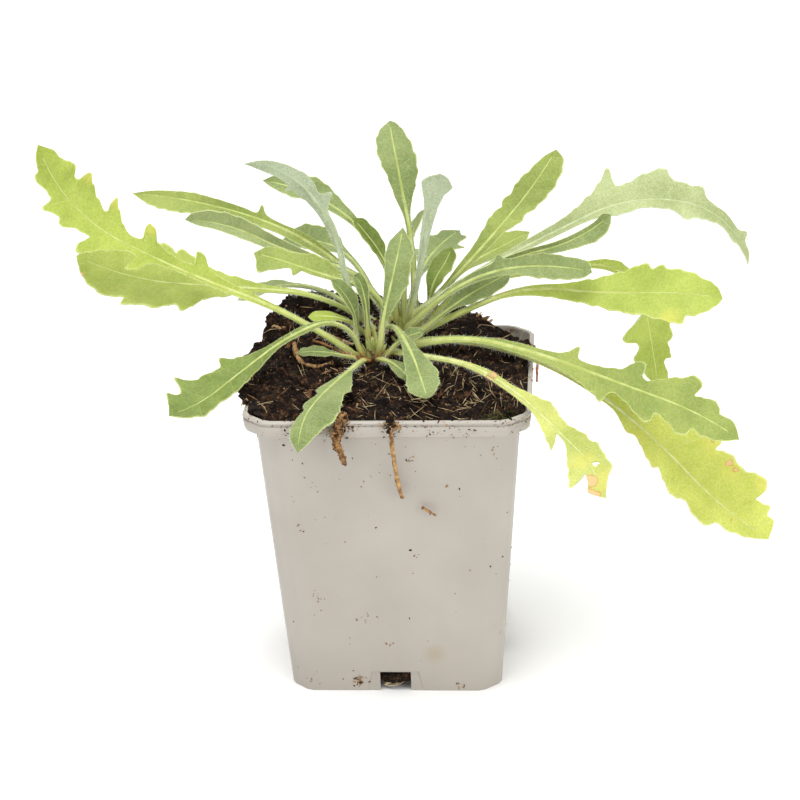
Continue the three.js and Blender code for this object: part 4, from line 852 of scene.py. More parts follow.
def dressNode(name, bevel=None, smooth=40):  # a working copy of a CAD node, with its doubles merged
    copy = nodes[name].copy()
    copy.data = nodes[name].data.copy()
    copy.parent = None
    copy.name = name + "_dressed"
    copy.data.name = copy.name
    copy.data.materials.clear()
    for key in list(copy.keys()):
        del copy[key]
    bpy.context.collection.objects.link(copy)
    inEditMode(copy, (bpy.ops.mesh.remove_doubles, dict(threshold=1e-5)))
    if bevel:
        inEditMode(copy, (bpy.ops.mesh.dissolve_limited, dict(angle_limit=math.radians(0.5))))
        applyModifier(copy, "BEVEL", width=bevel * mm, segments=3, limit_method="ANGLE", angle_limit=math.radians(25))
    pickOnly(copy)
    bpy.ops.object.shade_smooth_by_angle(angle=math.radians(smooth))
    return copy


def greyPlastic(values):
    # Moulded polypropylene, filled grey: even, low gloss, with peat rubbed in below the rim.
    material, tree, shader = startMaterial("moulded_grey_polypropylene")
    at = addNode(tree, "TexCoord").outputs["Object"]
    cloud = addNode(tree, "TexNoise", {"Vector": at, "Scale": 35, "Detail": 4})  # 30 mm clouds
    fine = addNode(tree, "TexNoise", {"Vector": at, "Scale": 2500, "Detail": 2})  # 0.4 mm grain
    tone = addNode(tree, "ValToRGB", {"Fac": cloud.outputs["Fac"]},
                   stops=[(0.3, values["shade"]), (0.7, values["grey"])])
    height = addNode(tree, "SeparateXYZ", {"Vector": at})
    nearRim = addNode(tree, "MapRange", {"Value": height.outputs["Z"], "From Min": 0.088, "From Max": 0.098,
                                         "To Min": -0.2, "To Max": 0.1})
    patches = addNode(tree, "TexNoise", {"Vector": at, "Scale": 75, "Detail": 2})  # 13 mm patches
    grit = addNode(tree, "TexNoise", {"Vector": at, "Scale": 850, "Detail": 6, "Roughness": 0.7})  # 1.2 mm
    groove = (potHigh.z - (values["beadHeight"] + values["grooveHeight"] / 2) * mm, values["grooveHeight"] * mm)
    inGroove = addNode(tree, "Math", {0: height.outputs["Z"], 1: groove[0], 2: groove[1]}, operation="COMPARE")
    caught = addNode(tree, "Math", {0: inGroove.outputs[0], 1: 0.16, 2: patches.outputs["Fac"]}, operation="MULTIPLY_ADD")
    both = addNode(tree, "Math", {0: caught.outputs[0], 1: grit.outputs["Fac"]}, operation="ADD")
    smearAt = addNode(tree, "Math", {0: both.outputs[0], 1: nearRim.outputs[0]}, operation="ADD")
    smear = addNode(tree, "MapRange", {"Value": smearAt.outputs[0], "From Min": 1.24, "From Max": 1.36,
                                       "To Max": 0.8})
    smeared = addNode(tree, "Mix", {0: smear.outputs[0], 6: tone.outputs["Color"], 7: values["smear"]},
                      data_type="RGBA")
    stainPlace = tuple(potAxis + np.array(values["stainPlace"]) * mm)
    away = addNode(tree, "VectorMath", {0: at, 1: stainPlace}, operation="DISTANCE")
    stain = addNode(tree, "MapRange", {"Value": away.outputs["Value"], "From Min": 0.001, "From Max": 0.0045,
                                       "To Min": 0.35, "To Max": 0})
    stained = addNode(tree, "Mix", {0: stain.outputs[0], 6: smeared.outputs[2], 7: values["stain"]}, data_type="RGBA")
    bump = addNode(tree, "Bump", {"Height": fine.outputs["Fac"], "Strength": 0.12, "Distance": 0.0001})
    finish(tree, shader, {"Base Color": stained.outputs[2], "Roughness": 0.42, "Normal": bump.outputs[0]})
    return material


def cutGroove(pot, values):  # the line between the rim's bead and its band
    top = potHigh.z - values["beadHeight"] * mm
    foot = top - values["grooveHeight"] * mm
    inEditMode(pot, (bpy.ops.mesh.bisect, dict(plane_co=(0, 0, top), plane_no=(0, 0, 1))))
    inEditMode(pot, (bpy.ops.mesh.bisect, dict(plane_co=(0, 0, foot), plane_no=(0, 0, 1))))

    def isBand(face):
        out = face.center.xy - Vector(potAxis[:2])
        return foot < face.center.z < top and face.normal.xy.dot(out) > 0.03
    pickFaces(pot, isBand)
    sink = dict(value=-values["grooveDepth"] * mm)
    editPicked((bpy.ops.mesh.extrude_region_shrink_fatten, dict(TRANSFORM_OT_shrink_fatten=sink)))


pot = dressNode("pot", potValues["edgeRadius"])
cutGroove(pot, potValues)
pot.data.materials.append(greyPlastic(potValues))
bpy.ops.object.shade_smooth_by_angle(angle=math.radians(35))
mountOn(pot, "pot", "pot")
print("pot is made")


# Peat: a crumbly heap with fibres, bark and moss

peatValues = dict(
    dark="#0a0604", middle="#21150d", light="#66492f", cutAt=88, grain=0.75, topAbove=98.8, wallInside=41.4, wallTaper=0.008,
    dips=[(44, 43, 28, 9), (46, 24, 15, 3)],  # x, y, radius and depth of the low places at the right rim
    moundPlace=(-6, 18.5, 101), moundSize=(9.5, 8, 8),
    crumbs=7600, crumbSize=(0.2, 1.2), clods=170, clodSize=(1.2, 3), lumps=170, lumpSize=(0.6, 1.7), fibres=430, fibreLength=(1.2, 7.5), chips=24,
)


def peatSkin(name, dark, middle, light):
    # Sphagnum peat: dark brown crumbs and light fibres, dull and dry.
    material, tree, shader = startMaterial(name)
    at = addNode(tree, "TexCoord").outputs["Object"]
    crumbs = addNode(tree, "TexNoise", {"Vector": at, "Scale": 520, "Detail": 6, "Roughness": 0.75})  # 2 mm
    patches = addNode(tree, "TexNoise", {"Vector": at, "Scale": 110, "Detail": 2})  # 9 mm patches
    shift = addNode(tree, "MapRange", {"Value": patches.outputs["Fac"], "From Min": 0.3, "From Max": 0.7,
                                       "To Min": -0.07, "To Max": 0.06})
    mixed = addNode(tree, "Math", {0: crumbs.outputs["Fac"], 1: shift.outputs[0]}, operation="ADD")
    tone = addNode(tree, "ValToRGB", {"Fac": mixed.outputs[0]}, stops=[(0.38, dark), (0.72, light), (0.54, middle)])
    grain = addNode(tree, "TexNoise", {"Vector": at, "Scale": 1600, "Detail": 4})  # 0.6 mm
    bump = addNode(tree, "Bump", {"Height": grain.outputs["Fac"], "Strength": 0.9, "Distance": 0.0006})
    finish(tree, shader, {"Base Color": tone.outputs["Color"], "Roughness": 0.95, "Normal": bump.outputs[0],
                          "Specular IOR Level": 0.2})
    return material


def drySkin(name, dark, light, grainScale):
    # Dead plant matter: dry root, stem or bark, dull, with a fine grain.
    material, tree, shader = startMaterial(name)
    at = addNode(tree, "TexCoord").outputs["Object"]
    patches = addNode(tree, "TexNoise", {"Vector": at, "Scale": grainScale, "Detail": 5, "Roughness": 0.65})
    tone = addNode(tree, "ValToRGB", {"Fac": patches.outputs["Fac"]}, stops=[(0.35, dark), (0.65, light)])
    bump = addNode(tree, "Bump", {"Height": patches.outputs["Fac"], "Strength": 0.8, "Distance": 0.0005})
    finish(tree, shader, {"Base Color": tone.outputs["Color"], "Roughness": 0.85, "Normal": bump.outputs[0],
                          "Specular IOR Level": 0.25})
    return material


def roughen(obj, group, steps):
    for kind, size, height in steps:
        texture = bpy.data.textures.new("peat_" + kind.lower(), kind)
        texture.noise_scale = size * mm
        applyModifier(obj, "DISPLACE", texture=texture, strength=height * mm, mid_level=0.5,
                      vertex_group=group, texture_coords="LOCAL")


def addMound(name, place, size):  # a rounded lump, in millimetres from the pot's axis
    bpy.ops.object.select_all(action="DESELECT")
    bpy.ops.mesh.primitive_ico_sphere_add(subdivisions=4, radius=1)
    lump = bpy.context.object
    lump.name = name
    inEditMode(lump, (bpy.ops.transform.resize, dict(value=tuple(np.array(size) * mm))),
               (bpy.ops.transform.translate, dict(value=tuple(potAxis + np.array(place) * mm))))
    return lump


def smooth(amount):
    amount = np.clip(amount, 0, 1)
    return amount * amount * (3 - 2 * amount)


def makeSoil(values, peat):
    upper = dressNode("soil")
    lower = dressNode("soil")
    cut = values["cutAt"] * mm
    inEditMode(upper, (bpy.ops.mesh.bisect, dict(plane_co=(0, 0, cut), plane_no=(0, 0, 1),
                                                 clear_inner=True, use_fill=True)))
    inEditMode(lower, (bpy.ops.mesh.bisect, dict(plane_co=(0, 0, cut + 2 * mm), plane_no=(0, 0, 1),
                                                 clear_outer=True, use_fill=True)))
    upper = joinAll("soil_dressed", [upper, addMound("mound", values["moundPlace"], values["moundSize"])])
    applyModifier(upper, "REMESH", mode="VOXEL", voxel_size=values["grain"] * mm)
    top = upper.vertex_groups.new(name="top")
    for vertex in upper.data.vertices:
        x, y, z = (np.array(vertex.co) - potAxis) / mm
        sunk = sum(depth * float(smooth(1 - math.hypot(x - dipX, y - dipY) / radius) * smooth((z - 90) / 6))
                   for dipX, dipY, radius, depth in values["dips"])
        drawnIn = 1 - values["wallTaper"] * sunk  # the wall leans in, so sunk peat draws in with it
        x, y, z = x * drawnIn, y * drawnIn, z - sunk
        vertex.co = potAxis + np.array([x, y, z]) * mm
        fromWall = values["wallInside"] - max(abs(x), abs(y))
        atTop = 1 if z > values["topAbove"] else float(np.clip(fromWall / 3, 0, 1))
        loose = float(np.clip((z - 90) / 2, 0, 1)) * atTop
        if loose > 0:
            top.add([vertex.index], loose, "REPLACE")
    roughen(upper, "top", [("CLOUDS", 13, 5), ("CLOUDS", 5, 3), ("CLOUDS", 2.2, 2), ("VORONOI", 1.2, 1.3)])
    soil = joinAll("soil_dressed", [upper, lower])
    soil.data.materials.append(peat)
    pickOnly(soil)
    bpy.ops.object.shade_flat()
    print("soil faces:", len(soil.data.polygons))
    return soil


def surfaceSpots(obj, count, keep, tries=90000):
    # Random places on the faces, as likely as keep(spots, normals) says, in millimetres from the pot's axis.
    mesh = obj.data
    mesh.calc_loop_triangles()
    corners = np.empty(len(mesh.vertices) * 3)
    mesh.vertices.foreach_get("co", corners)
    corners = (corners.reshape(-1, 3) - potAxis) / mm
    faces = np.empty(len(mesh.loop_triangles) * 3, int)
    mesh.loop_triangles.foreach_get("vertices", faces)
    a, b, c = (corners[faces.reshape(-1, 3)[:, k]] for k in range(3))
    cross = np.cross(b - a, c - a)
    area = np.linalg.norm(cross, axis=1)
    pick = rng.choice(len(area), tries, p=area / area.sum())
    u, v = rng.random((2, tries, 1))
    flip = (u + v) > 1
    u, v = np.where(flip, 1 - u, u), np.where(flip, 1 - v, v)
    spots = a[pick] + (b[pick] - a[pick]) * u + (c[pick] - a[pick]) * v
    normals = cross[pick] / area[pick][:, None]
    share = keep(spots, normals) * 1.0
    chosen = rng.choice(tries, count, replace=False, p=share / share.sum())
    return spots[chosen], normals[chosen]


def crumbPattern(name, seed, squash):  # an irregular lump of twenty faces
    bpy.ops.object.select_all(action="DESELECT")
    bpy.ops.mesh.primitive_ico_sphere_add(subdivisions=1, radius=1)
    lump = bpy.context.object
    lump.name = name
    inEditMode(lump, (bpy.ops.transform.vertex_random, dict(offset=0.35, uniform=0.6, normal=0.4, seed=seed)),
               (bpy.ops.transform.resize, dict(value=(1, 0.8, squash))))
    return lump


def stickPattern(name, bend):  # a thin bent stick of unit length along Z
    bpy.ops.object.select_all(action="DESELECT")
    bpy.ops.mesh.primitive_cylinder_add(vertices=4, radius=1, depth=1, location=(0, 0, 0.5))
    stick = bpy.context.object
    bpy.ops.object.transform_apply(location=True, rotation=True, scale=True)
    inEditMode(stick, (bpy.ops.mesh.subdivide, dict(number_cuts=1)))
    stick.name = name
    for vertex in stick.data.vertices:
        t = vertex.co.z
        thin = 1 - 0.75 * abs(2 * t - 1) ** 2
        vertex.co.x = vertex.co.x * thin + bend * 4 * t * (1 - t)
        vertex.co.y = vertex.co.y * thin
    return stick


peat = peatSkin("sphagnum_peat", peatValues["dark"], peatValues["middle"], peatValues["light"])
soil = makeSoil(peatValues, peat)
mountOn(soil, "soil", "soil")


def onTop(spot, normal):
    inside = np.abs(spot[:, :2]).max(axis=1) < np.where(spot[:, 2] < 96.5, 40.4, 42.2)
    return (inside | (spot[:, 2] > peatValues["topAbove"])) & (spot[:, 2] > 91.5) & (normal[:, 2] > -0.4)


def loose(spots, normals, sizes, sink):  # turned at random, sunk partly in
    ways = normals + rng.normal(0, 0.5, normals.shape)
    return standing(spots - normals * (sizes * sink)[:, None], ways, sizes, sizes)


brownPeat = peatSkin("brown_peat_crumb", "#2b1a11", "#573923", "#8b6544")
darkBark = drySkin("pine_bark_chip", "#35201a", "#7d5434", 500)
paleBit = drySkin("pale_peat_fibre_bit", "#7d5f3e", "#b8976a", 900)
dryFibre = drySkin("dry_sphagnum_fibre", "#a5875a", "#e0cda0", 700)
mossSkin = drySkin("green_moss", "#232c14", "#56662c", 900)
crumbKinds = [(0.5, peat, 0.75), (0.33, brownPeat, 0.6), (0.11, darkBark, 0.5), (0.06, paleBit, 0.4)]


def scatterCrumbs(spots, normals, sizes, kinds, sink=0.25):
    # Lumps in a few materials, each with its own share and squash.
    matrices = loose(spots, normals, sizes, sink)
    pieces = []
    start = 0
    for index, (share, material, squash) in enumerate(kinds):
        end = len(matrices) if index == len(kinds) - 1 else start + int(share * len(matrices))
        pattern = crumbPattern("crumb", index + 3, squash)
        pieces.append(scatter("crumbs", pattern, matrices[start:end], material))
        bpy.data.objects.remove(pattern)
        start = end
    return pieces


small, large = peatValues["crumbSize"]
spots, normals = surfaceSpots(soil, peatValues["crumbs"], onTop)
sizes = small + (large - small) * rng.beta(1, 3.4, len(spots))
clodAt = rng.choice(len(spots) // 2, peatValues["clods"], replace=False)  # the first half is in the dark peat
sizes[clodAt] = rng.uniform(*peatValues["clodSize"], len(clodAt))
order = np.arange(len(spots))
crumbPieces = scatterCrumbs(spots[order], normals[order], sizes[order], crumbKinds)


def nearRearHeart(spot, normal):
    away = np.linalg.norm(spot[:, :2] - peatValues["moundPlace"][:2], axis=1)
    return onTop(spot, normal) * np.exp(-away ** 2 / 45) + 1e-12


spots, normals = surfaceSpots(soil, peatValues["lumps"], nearRearHeart)  # brown lumps among the rear stalks
lumpKinds = [(0.5, darkBark, 0.6), (0.5, brownPeat, 0.6)]
crumbPieces.extend(scatterCrumbs(spots, normals, rng.uniform(*peatValues["lumpSize"], len(spots)), lumpKinds, 0))
mountOn(joinAll("peat_crumbs", crumbPieces), "soil")


# Peat on the pot: specks on the walls, dirt along the rim, and a plug in each drain opening

dirtValues = dict(
    specks=460, speckSize=(0.16, 0.8), rimBits=760, rimBitSize=(0.15, 0.75),
    rimClumps=[(-20, -45, 5), (-31, -45, 3), (2.4, -45, 2.4), (14, -45, 3), (23, -45, 2.5), (40, -45, 3),
               (-45, -24, 6), (-45, 8, 8), (45, -30, 5), (45, 6, 5), (12, 45, 8), (-25, 45, 6)],  # x, y, spread
    mossPlace=(37, -39), mossBits=170,
    spots=[(-11.5, -35.3, 3.6, 1.1, 34, (0.3, 0.9)), (-27, -36, 2.5, 2, 8, (0.2, 0.5)), (21, -35.3, 2.4, 0.9, 9, (0.3, 0.6)),
           (-28.3, -39.4, 58.8, 0.6, 4, (0.4, 0.8)), (-24, -38, 35, 1.5, 10, (0.2, 0.5)),
           (7.5, -43.5, 84, 0.8, 7, (0.3, 0.7)), (35, -44, 87, 0.8, 6, (0.3, 0.7)),
           (2, -45.4, 97, 1.5, 60, (0.4, 1.0)), (-13.2, -45.4, 97, 1.8, 60, (0.4, 1.0)),
           (-2, -36.5, 17, 0.7, 5, (0.3, 0.6)), (-8, -38, 27, 1.4, 8, (0.2, 0.5))],  # x, y, z, spread, count, size
)


def outsideOf(spot, normal):
    return ((spot[:, :2] * normal[:, :2]).sum(axis=1) > 20) & (spot[:, 2] > 1)


def onWalls(spot, normal):
    return outsideOf(spot, normal) * (0.25 + (spot[:, 2] > 70) * 0.5 + (spot[:, 2] > 90) * 1.5)


def onRim(spot, normal):
    near = sum(np.exp(-((spot[:, 0] - x) ** 2 + (spot[:, 1] - y) ** 2) / (2 * spread ** 2))
               for x, y, spread in dirtValues["rimClumps"])
    return near * (spot[:, 2] > 92.5) * (outsideOf(spot, normal) * 0.6 + (normal[:, 2] > 0.7)) + 1e-9


dirt = []
dirtKinds = [(0.1, peat, 0.4), (0.27, brownPeat, 0.3), (0.3, darkBark, 0.3), (0.33, paleBit, 0.3)]
for keep, count, (least, most) in ((onWalls, dirtValues["specks"], dirtValues["speckSize"]),
                                   (onRim, dirtValues["rimBits"], dirtValues["rimBitSize"])):
    spots, normals = surfaceSpots(pot, count, keep, 400000)
    order = rng.permutation(count)
    sizes = least + (most - least) * rng.beta(1, 2.4, count)
    dirt.extend(scatterCrumbs(spots[order], normals[order], sizes, dirtKinds, 0.1))
for x, y, z, spread, count, speckSize in dirtValues["spots"]:
    def nearSpot(spot, normal):
        away = np.linalg.norm(spot - [x, y, z], axis=1)
        return outsideOf(spot, normal) * np.exp(-away ** 2 / (2 * spread ** 2)) + 1e-12
    spots, normals = surfaceSpots(pot, count, nearSpot, 400000)
    dirt.extend(scatterCrumbs(spots, normals, rng.uniform(*speckSize, count), dirtKinds, 0.1))
mountOn(joinAll("peat_on_pot", dirt), "soil")

plugs = []
for quarter in range(4):
    plug = addMound("plug", (0, -32.2, 4.2), (6, 2.4, 2.2))
    inEditMode(plug, (bpy.ops.transform.rotate, dict(value=-quarter * math.pi / 2, orient_axis="Z",
                                                     center_override=tuple(potAxis))))
    roughen(plug, "", [("CLOUDS", 2, 1.2), ("VORONOI", 0.9, 0.7)])
    plug.data.materials.append(peat)
    plugs.append(plug)
mountOn(joinAll("peat_in_openings", plugs), "soil")


def lying(spots, normals, tilt):  # directions that lie on the surface, lifted a little at one end
    ways = np.cross(normals, rng.normal(0, 1, normals.shape))
    ways /= np.linalg.norm(ways, axis=1, keepdims=True)
    return ways + normals * rng.uniform(0.02, tilt, (len(ways), 1))


def moreInFront(spot, normal):
    x, y = spot[:, 0], spot[:, 1]
    return onTop(spot, normal) * (0.3 + (y < -5) * 0.5 + ((y < -8) & (x > 2)) * 1.1)


brownFibre = drySkin("brown_peat_fibre", "#5b3f28", "#9b7449", 700)
fibrePieces = []
for bend, share, material in ((0, 0.3, dryFibre), (5, 0.4, dryFibre), (2, 0.3, brownFibre)):
    count = int(peatValues["fibres"] * share)
    spots, normals = surfaceSpots(soil, count, moreInFront)
    lengths = rng.uniform(*peatValues["fibreLength"], count)
    radii = rng.uniform(0.05, 0.14, count)
    pattern = stickPattern("fibre", bend)
    matrices = standing(spots + normals * 0.3, lying(spots, normals, 0.5), lengths, radii)
    fibrePieces.append(scatter("fibres", pattern, matrices, material))
    bpy.data.objects.remove(pattern)
pattern = stickPattern("fibre", 0)
for x, y, count in ((28.8, -34, 8), (24, -37, 4), (-6, -38, 5), (12, -30, 5)):  # tufts of straw in front
    angle = rng.uniform(0, 2 * np.pi, count)
    ways = np.stack([np.cos(angle), np.sin(angle), rng.uniform(0.1, 0.6, count)], -1)
    spots = np.tile([x, y, 100.4], (count, 1)) + rng.normal(0, 0.5, (count, 3))
    matrices = standing(spots, ways, rng.uniform(2.2, 5.5, count), rng.uniform(0.07, 0.14, count))
    fibrePieces.append(scatter("fibres", pattern, matrices, dryFibre))
bpy.data.objects.remove(pattern)
mountOn(joinAll("peat_fibres", fibrePieces), "soil")


def nearMoss(spot, normal):
    away = np.linalg.norm(spot[:, :2] - dirtValues["mossPlace"], axis=1)
    return onTop(spot, normal) * np.exp(-away ** 2 / 14) + 1e-12


spots, normals = surfaceSpots(soil, dirtValues["mossBits"], nearMoss)
tuft = stickPattern("tuft", 2)
mossWays = normals + rng.normal(0, 0.5, normals.shape)
mossSizes = rng.uniform(0.6, 1.6, len(spots))
mountOn(scatter("moss_tufts", tuft, standing(spots, mossWays, mossSizes, mossSizes * 0.12), mossSkin), "soil")
bpy.data.objects.remove(tuft)


def smoothThrough(line, at):  # a rounded curve through the line's points, at places counted in points
    padded = np.vstack([2 * line[0] - line[1], line, 2 * line[-1] - line[-2]])
    index = np.minimum(at.astype(int), len(line) - 2)
    t = (at - index)[:, None]
    a, b, c, d = (padded[index + k] for k in range(4))
    return 0.5 * (2 * b + (c - a) * t + (2 * a - 5 * b + 4 * c - d) * t ** 2 + (3 * b - a - 3 * c + d) * t ** 3)


def roamingPath(start, heading, length, wander, steps=12):  # a loose curl at one height
    points = [np.array(start, float)]
    turn = 0.0
    for step in range(steps):
        turn = 0.7 * turn + rng.normal(0, wander)
        heading += turn
        points.append(points[-1] + np.array([math.cos(heading), math.sin(heading), 0]) * length / steps)
    return np.array(points)


def dropToSoil(points, lift):  # the same points, laid on the peat
    laid = []
    for x, y, z in points:
        above = Vector((x * mm + potAxis[0], y * mm + potAxis[1], 0.13))
        hit, place, normal, face = soil.ray_cast(above, Vector((0, 0, -1)))
        laid.append((x, y, (place.z / mm if hit else z) + lift))
    return np.array(laid)


rootletValues = dict(count=18, length=(5, 14), radius=(0.07, 0.16), hangers=34, hangLength=(3, 9))
rootletSkin = drySkin("pale_rootlet", "#a5865c", "#d8c39a", 800)
rootlets = []
spots, normals = surfaceSpots(soil, rootletValues["count"], onTop)
for spot in spots:
    path = roamingPath(spot, rng.uniform(0, 2 * np.pi), rng.uniform(*rootletValues["length"]), 0.16)
    path = path[np.abs(path[:, :2]).max(axis=1) < 42]
    if len(path) < 4:
        continue
    path = dropToSoil(path, 0.15)
    path[:, 2] = np.convolve(np.r_[path[:1, 2], path[:, 2], path[-1:, 2]], np.ones(3) / 3, "valid")
    path[:, 2] += np.sin(np.linspace(0, np.pi, len(path))) * rng.uniform(0, 1)
    radii = rng.uniform(*rootletValues["radius"]) * np.linspace(1, 0.35, len(path))
    rootlets.append(addTube("rootlet", path * mm + potAxis, radii * mm, 5))


def onLeftBulge(spot, normal):
    return (spot[:, 2] > 96) & (spot[:, 2] < 103) & (spot[:, 0] < -43)


spots, normals = surfaceSpots(soil, rootletValues["hangers"], onLeftBulge)
for spot in spots:  # torn ends that hang out of the bulge on the left
    length = rng.uniform(*rootletValues["hangLength"])
    t = np.linspace(0, 1, 8)[:, None]
    out = np.array([-rng.uniform(0.1, 0.5), rng.normal(0, 0.35), 0])
    path = spot + out * t * length + np.array([0, 0, -1]) * t ** 1.6 * length * rng.uniform(0.3, 1)
    path = path + np.cumsum(rng.normal(0, 0.12, path.shape), axis=0)
    rootlets.append(addTube("rootlet", path * mm + potAxis, rng.uniform(0.1, 0.2) * mm * np.linspace(1, 0.4, 8), 5))
for turn in range(4):  # roots that show in the drain openings
    angle = turn * math.pi / 2
    turning = np.array([[math.cos(angle), math.sin(angle), 0], [-math.sin(angle), math.cos(angle), 0], [0, 0, 1]])
    for k in range(5):
        t = np.linspace(0, 1, 9)[:, None]
        ends = np.array([[rng.uniform(-5, -2), -33.4, rng.uniform(1, 3)], [rng.uniform(2, 5), -33.4, rng.uniform(2.6, 4.6)]])
        path = ends[0] + (ends[1] - ends[0]) * t + np.sin(t * np.pi) * [0, -0.7, rng.uniform(-1, 0.6)]
        radii = rng.uniform(0.12, 0.26) * mm * np.linspace(1, 0.5, 9)
        rootlets.append(addTube("rootlet", path @ turning * mm + potAxis, radii, 6))
for piece in rootlets:
    piece.data.materials.append(rootletSkin)
mountOn(joinAll("loose_rootlets", rootlets), "root")


# Chips of bark, each a flattened cube, subdivided once and jittered

def flakePattern(name, seed):
    bpy.ops.object.select_all(action="DESELECT")
    bpy.ops.mesh.primitive_cube_add(size=2)
    flake = bpy.context.object
    flake.name = name
    inEditMode(flake, (bpy.ops.transform.resize, dict(value=(1, 0.62, 0.2))),
               (bpy.ops.mesh.subdivide, dict(number_cuts=1)),
               (bpy.ops.transform.vertex_random, dict(offset=0.22, uniform=1, seed=seed)))
    return flake


spots, normals = surfaceSpots(soil, peatValues["chips"], onTop)
sizes = rng.uniform(0.7, 1.7, len(spots))
chips = []
for seed in range(3):
    flake = flakePattern("chip", seed + 2)
    part = slice(seed * len(spots) // 3, (seed + 1) * len(spots) // 3)
    ways = normals[part] + rng.normal(0, 0.3, normals[part].shape)
    chips.append(scatter("chips", flake, standing(spots[part], ways, sizes[part], sizes[part]), darkBark))
    bpy.data.objects.remove(flake)
mountOn(joinAll("bark_chips", chips), "soil")
print("peat is made")


# Roots and the dead stalk

rootSkin = drySkin("dry_brown_root", "#6f4c2c", "#c6a06c", 620)
barkSkin = drySkin("crumbling_root_bark", "#533621", "#b48a58", 620)
paleWood = drySkin("weathered_bark_strip", "#96744c", "#d0b184", 380)
orangeRoot = drySkin("orange_brown_root", "#7d4f2c", "#c08a55", 500)
redBrown = drySkin("dead_leaf_strip", "#8d5c44", "#c79676", 420)
strandValues = [  # soiled: how many crumbs cling to it, how big, and from where to where
    dict(name="root_over_rim", replaced=True, skin=rootSkin, radius=1.1, lumps=0.16, flat=0.75, taper=0.6,
         soiled=(170, 1.0, 0.16, 0.46), dirt=0.6,
         path=[(0.9, -38, 93), (1.2, -41.6, 96.6), (1.6, -44.4, 99.6), (1.9, -46.6, 98), (2.2, -46.8, 92.8),
               (2.6, -46.5, 87.8), (3.1, -45, 81.4), (3.7, -43, 75.9), (4.6, -41.5, 70.8)]),
    dict(name="root_bark_over_rim", replaced=True, skin=barkSkin, radius=1.5, lumps=0.6, flat=0.7, taper=0.55,
         soiled=(300, 0.9, 0.14, 1), dirt=0.12,
         path=[(-11.5, -38, 93), (-12.2, -41.6, 96.6), (-13, -44.4, 99.8), (-14, -47, 98.2),
               (-15, -47.2, 93.5), (-13.9, -47.1, 89.6), (-12.2, -46.3, 84)]),
    dict(name="root_on_soil", replaced=True, skin=rootSkin, radius=0.75, lumps=0.15, flat=1, taper=0.7,
         soiled=(60, 0.5, 0, 1), dirt=0.5,
         path=[(-33.2, 9.6, 104.6), (-31.4, 0.8, 103.4), (-28.8, -5.2, 102.9), (-25.1, -6.9, 102.4),
               (-22.1, -5.4, 102.1), (-19.5, -1.5, 101.9)]),
    dict(name="dead_stalk", replaced=True, skin=paleWood, radius=0.85, lumps=0.12, flat=0.6, taper=0.8,
         soiled=(10, 0.6, 0, 1), dirt=0.5,
         path=[(-26.7, 16.8, 106.6), (-21.8, 13.8, 105.5), (-16.7, 11.1, 104.4), (-13.6, 9.6, 103.6)]),
    dict(name="crown_root_left", skin=orangeRoot, radius=0.55, lumps=0.15, flat=1, taper=0.6, soiled=(20, 0.5, 0, 1),
         dirt=0.4, path=[(-7, -1, 101.8), (-12, 0, 103), (-18, 3, 104.2), (-24, 7.5, 105.2), (-27, 10, 105)]),
    dict(name="crown_root_right", skin=orangeRoot, radius=0.7, lumps=0.2, flat=0.8, taper=0.7,
         soiled=(14, 0.5, 0, 1), dirt=0.4,
         path=[(-3, -1, 101.6), (0.5, -4.6, 102.8), (3.6, -7.4, 102.6), (6, -10, 101.4)]),
    dict(name="bark_strip", skin=paleWood, radius=1.25, lumps=0.25, flat=0.45, taper=0.6, soiled=(14, 0.6, 0, 1), dirt=0.3,
         path=[(-42.6, 25.6, 104.2), (-40.5, 23.8, 105.2), (-38, 21.6, 105), (-36, 19.6, 103.6)]),
    dict(name="bark_chip_on_wall", skin=barkSkin, radius=0.72, lumps=0.2, flat=0.6, taper=0.8, soiled=(6, 0.4, 0, 1), dirt=0.3,
         path=[(10.6, -41.2, 67.9), (12.4, -41.4, 66.8), (15, -41.1, 65)]),
    dict(name="dead_strip_on_rim", skin=redBrown, radius=0.8, lumps=0.2, flat=0.4, taper=0.4, soiled=(6, 0.4, 0, 1), dirt=0.3,
         path=[(42.4, 25, 97.4), (44, 23, 98.7), (45.8, 19, 98.2), (46.3, 14, 96.6), (46.2, 8, 94.8),
               (46.1, 4, 92.4)]),
]
for k in range(9):  # torn stems that stick out of the peat at the back, on the right
    x, y = 24 + rng.uniform(-3, 3), 36 + rng.uniform(-3, 3)
    end = np.array([x, y, 103]) + [rng.uniform(3, 7), rng.uniform(0, 4), rng.uniform(-1.5, 2.5)]
    strandValues.append(dict(name="torn_stem_%d" % (k + 1), skin=(barkSkin, paleWood)[k % 3 == 2],
                             radius=rng.uniform(0.5, 0.95), lumps=0.3, flat=0.6, taper=0.7, soiled=(14, 0.8, 0, 1), dirt=0.3,
                             path=[(x - 3, y - 2, 99), (x, y, 101.5), end]))
tornStems = []
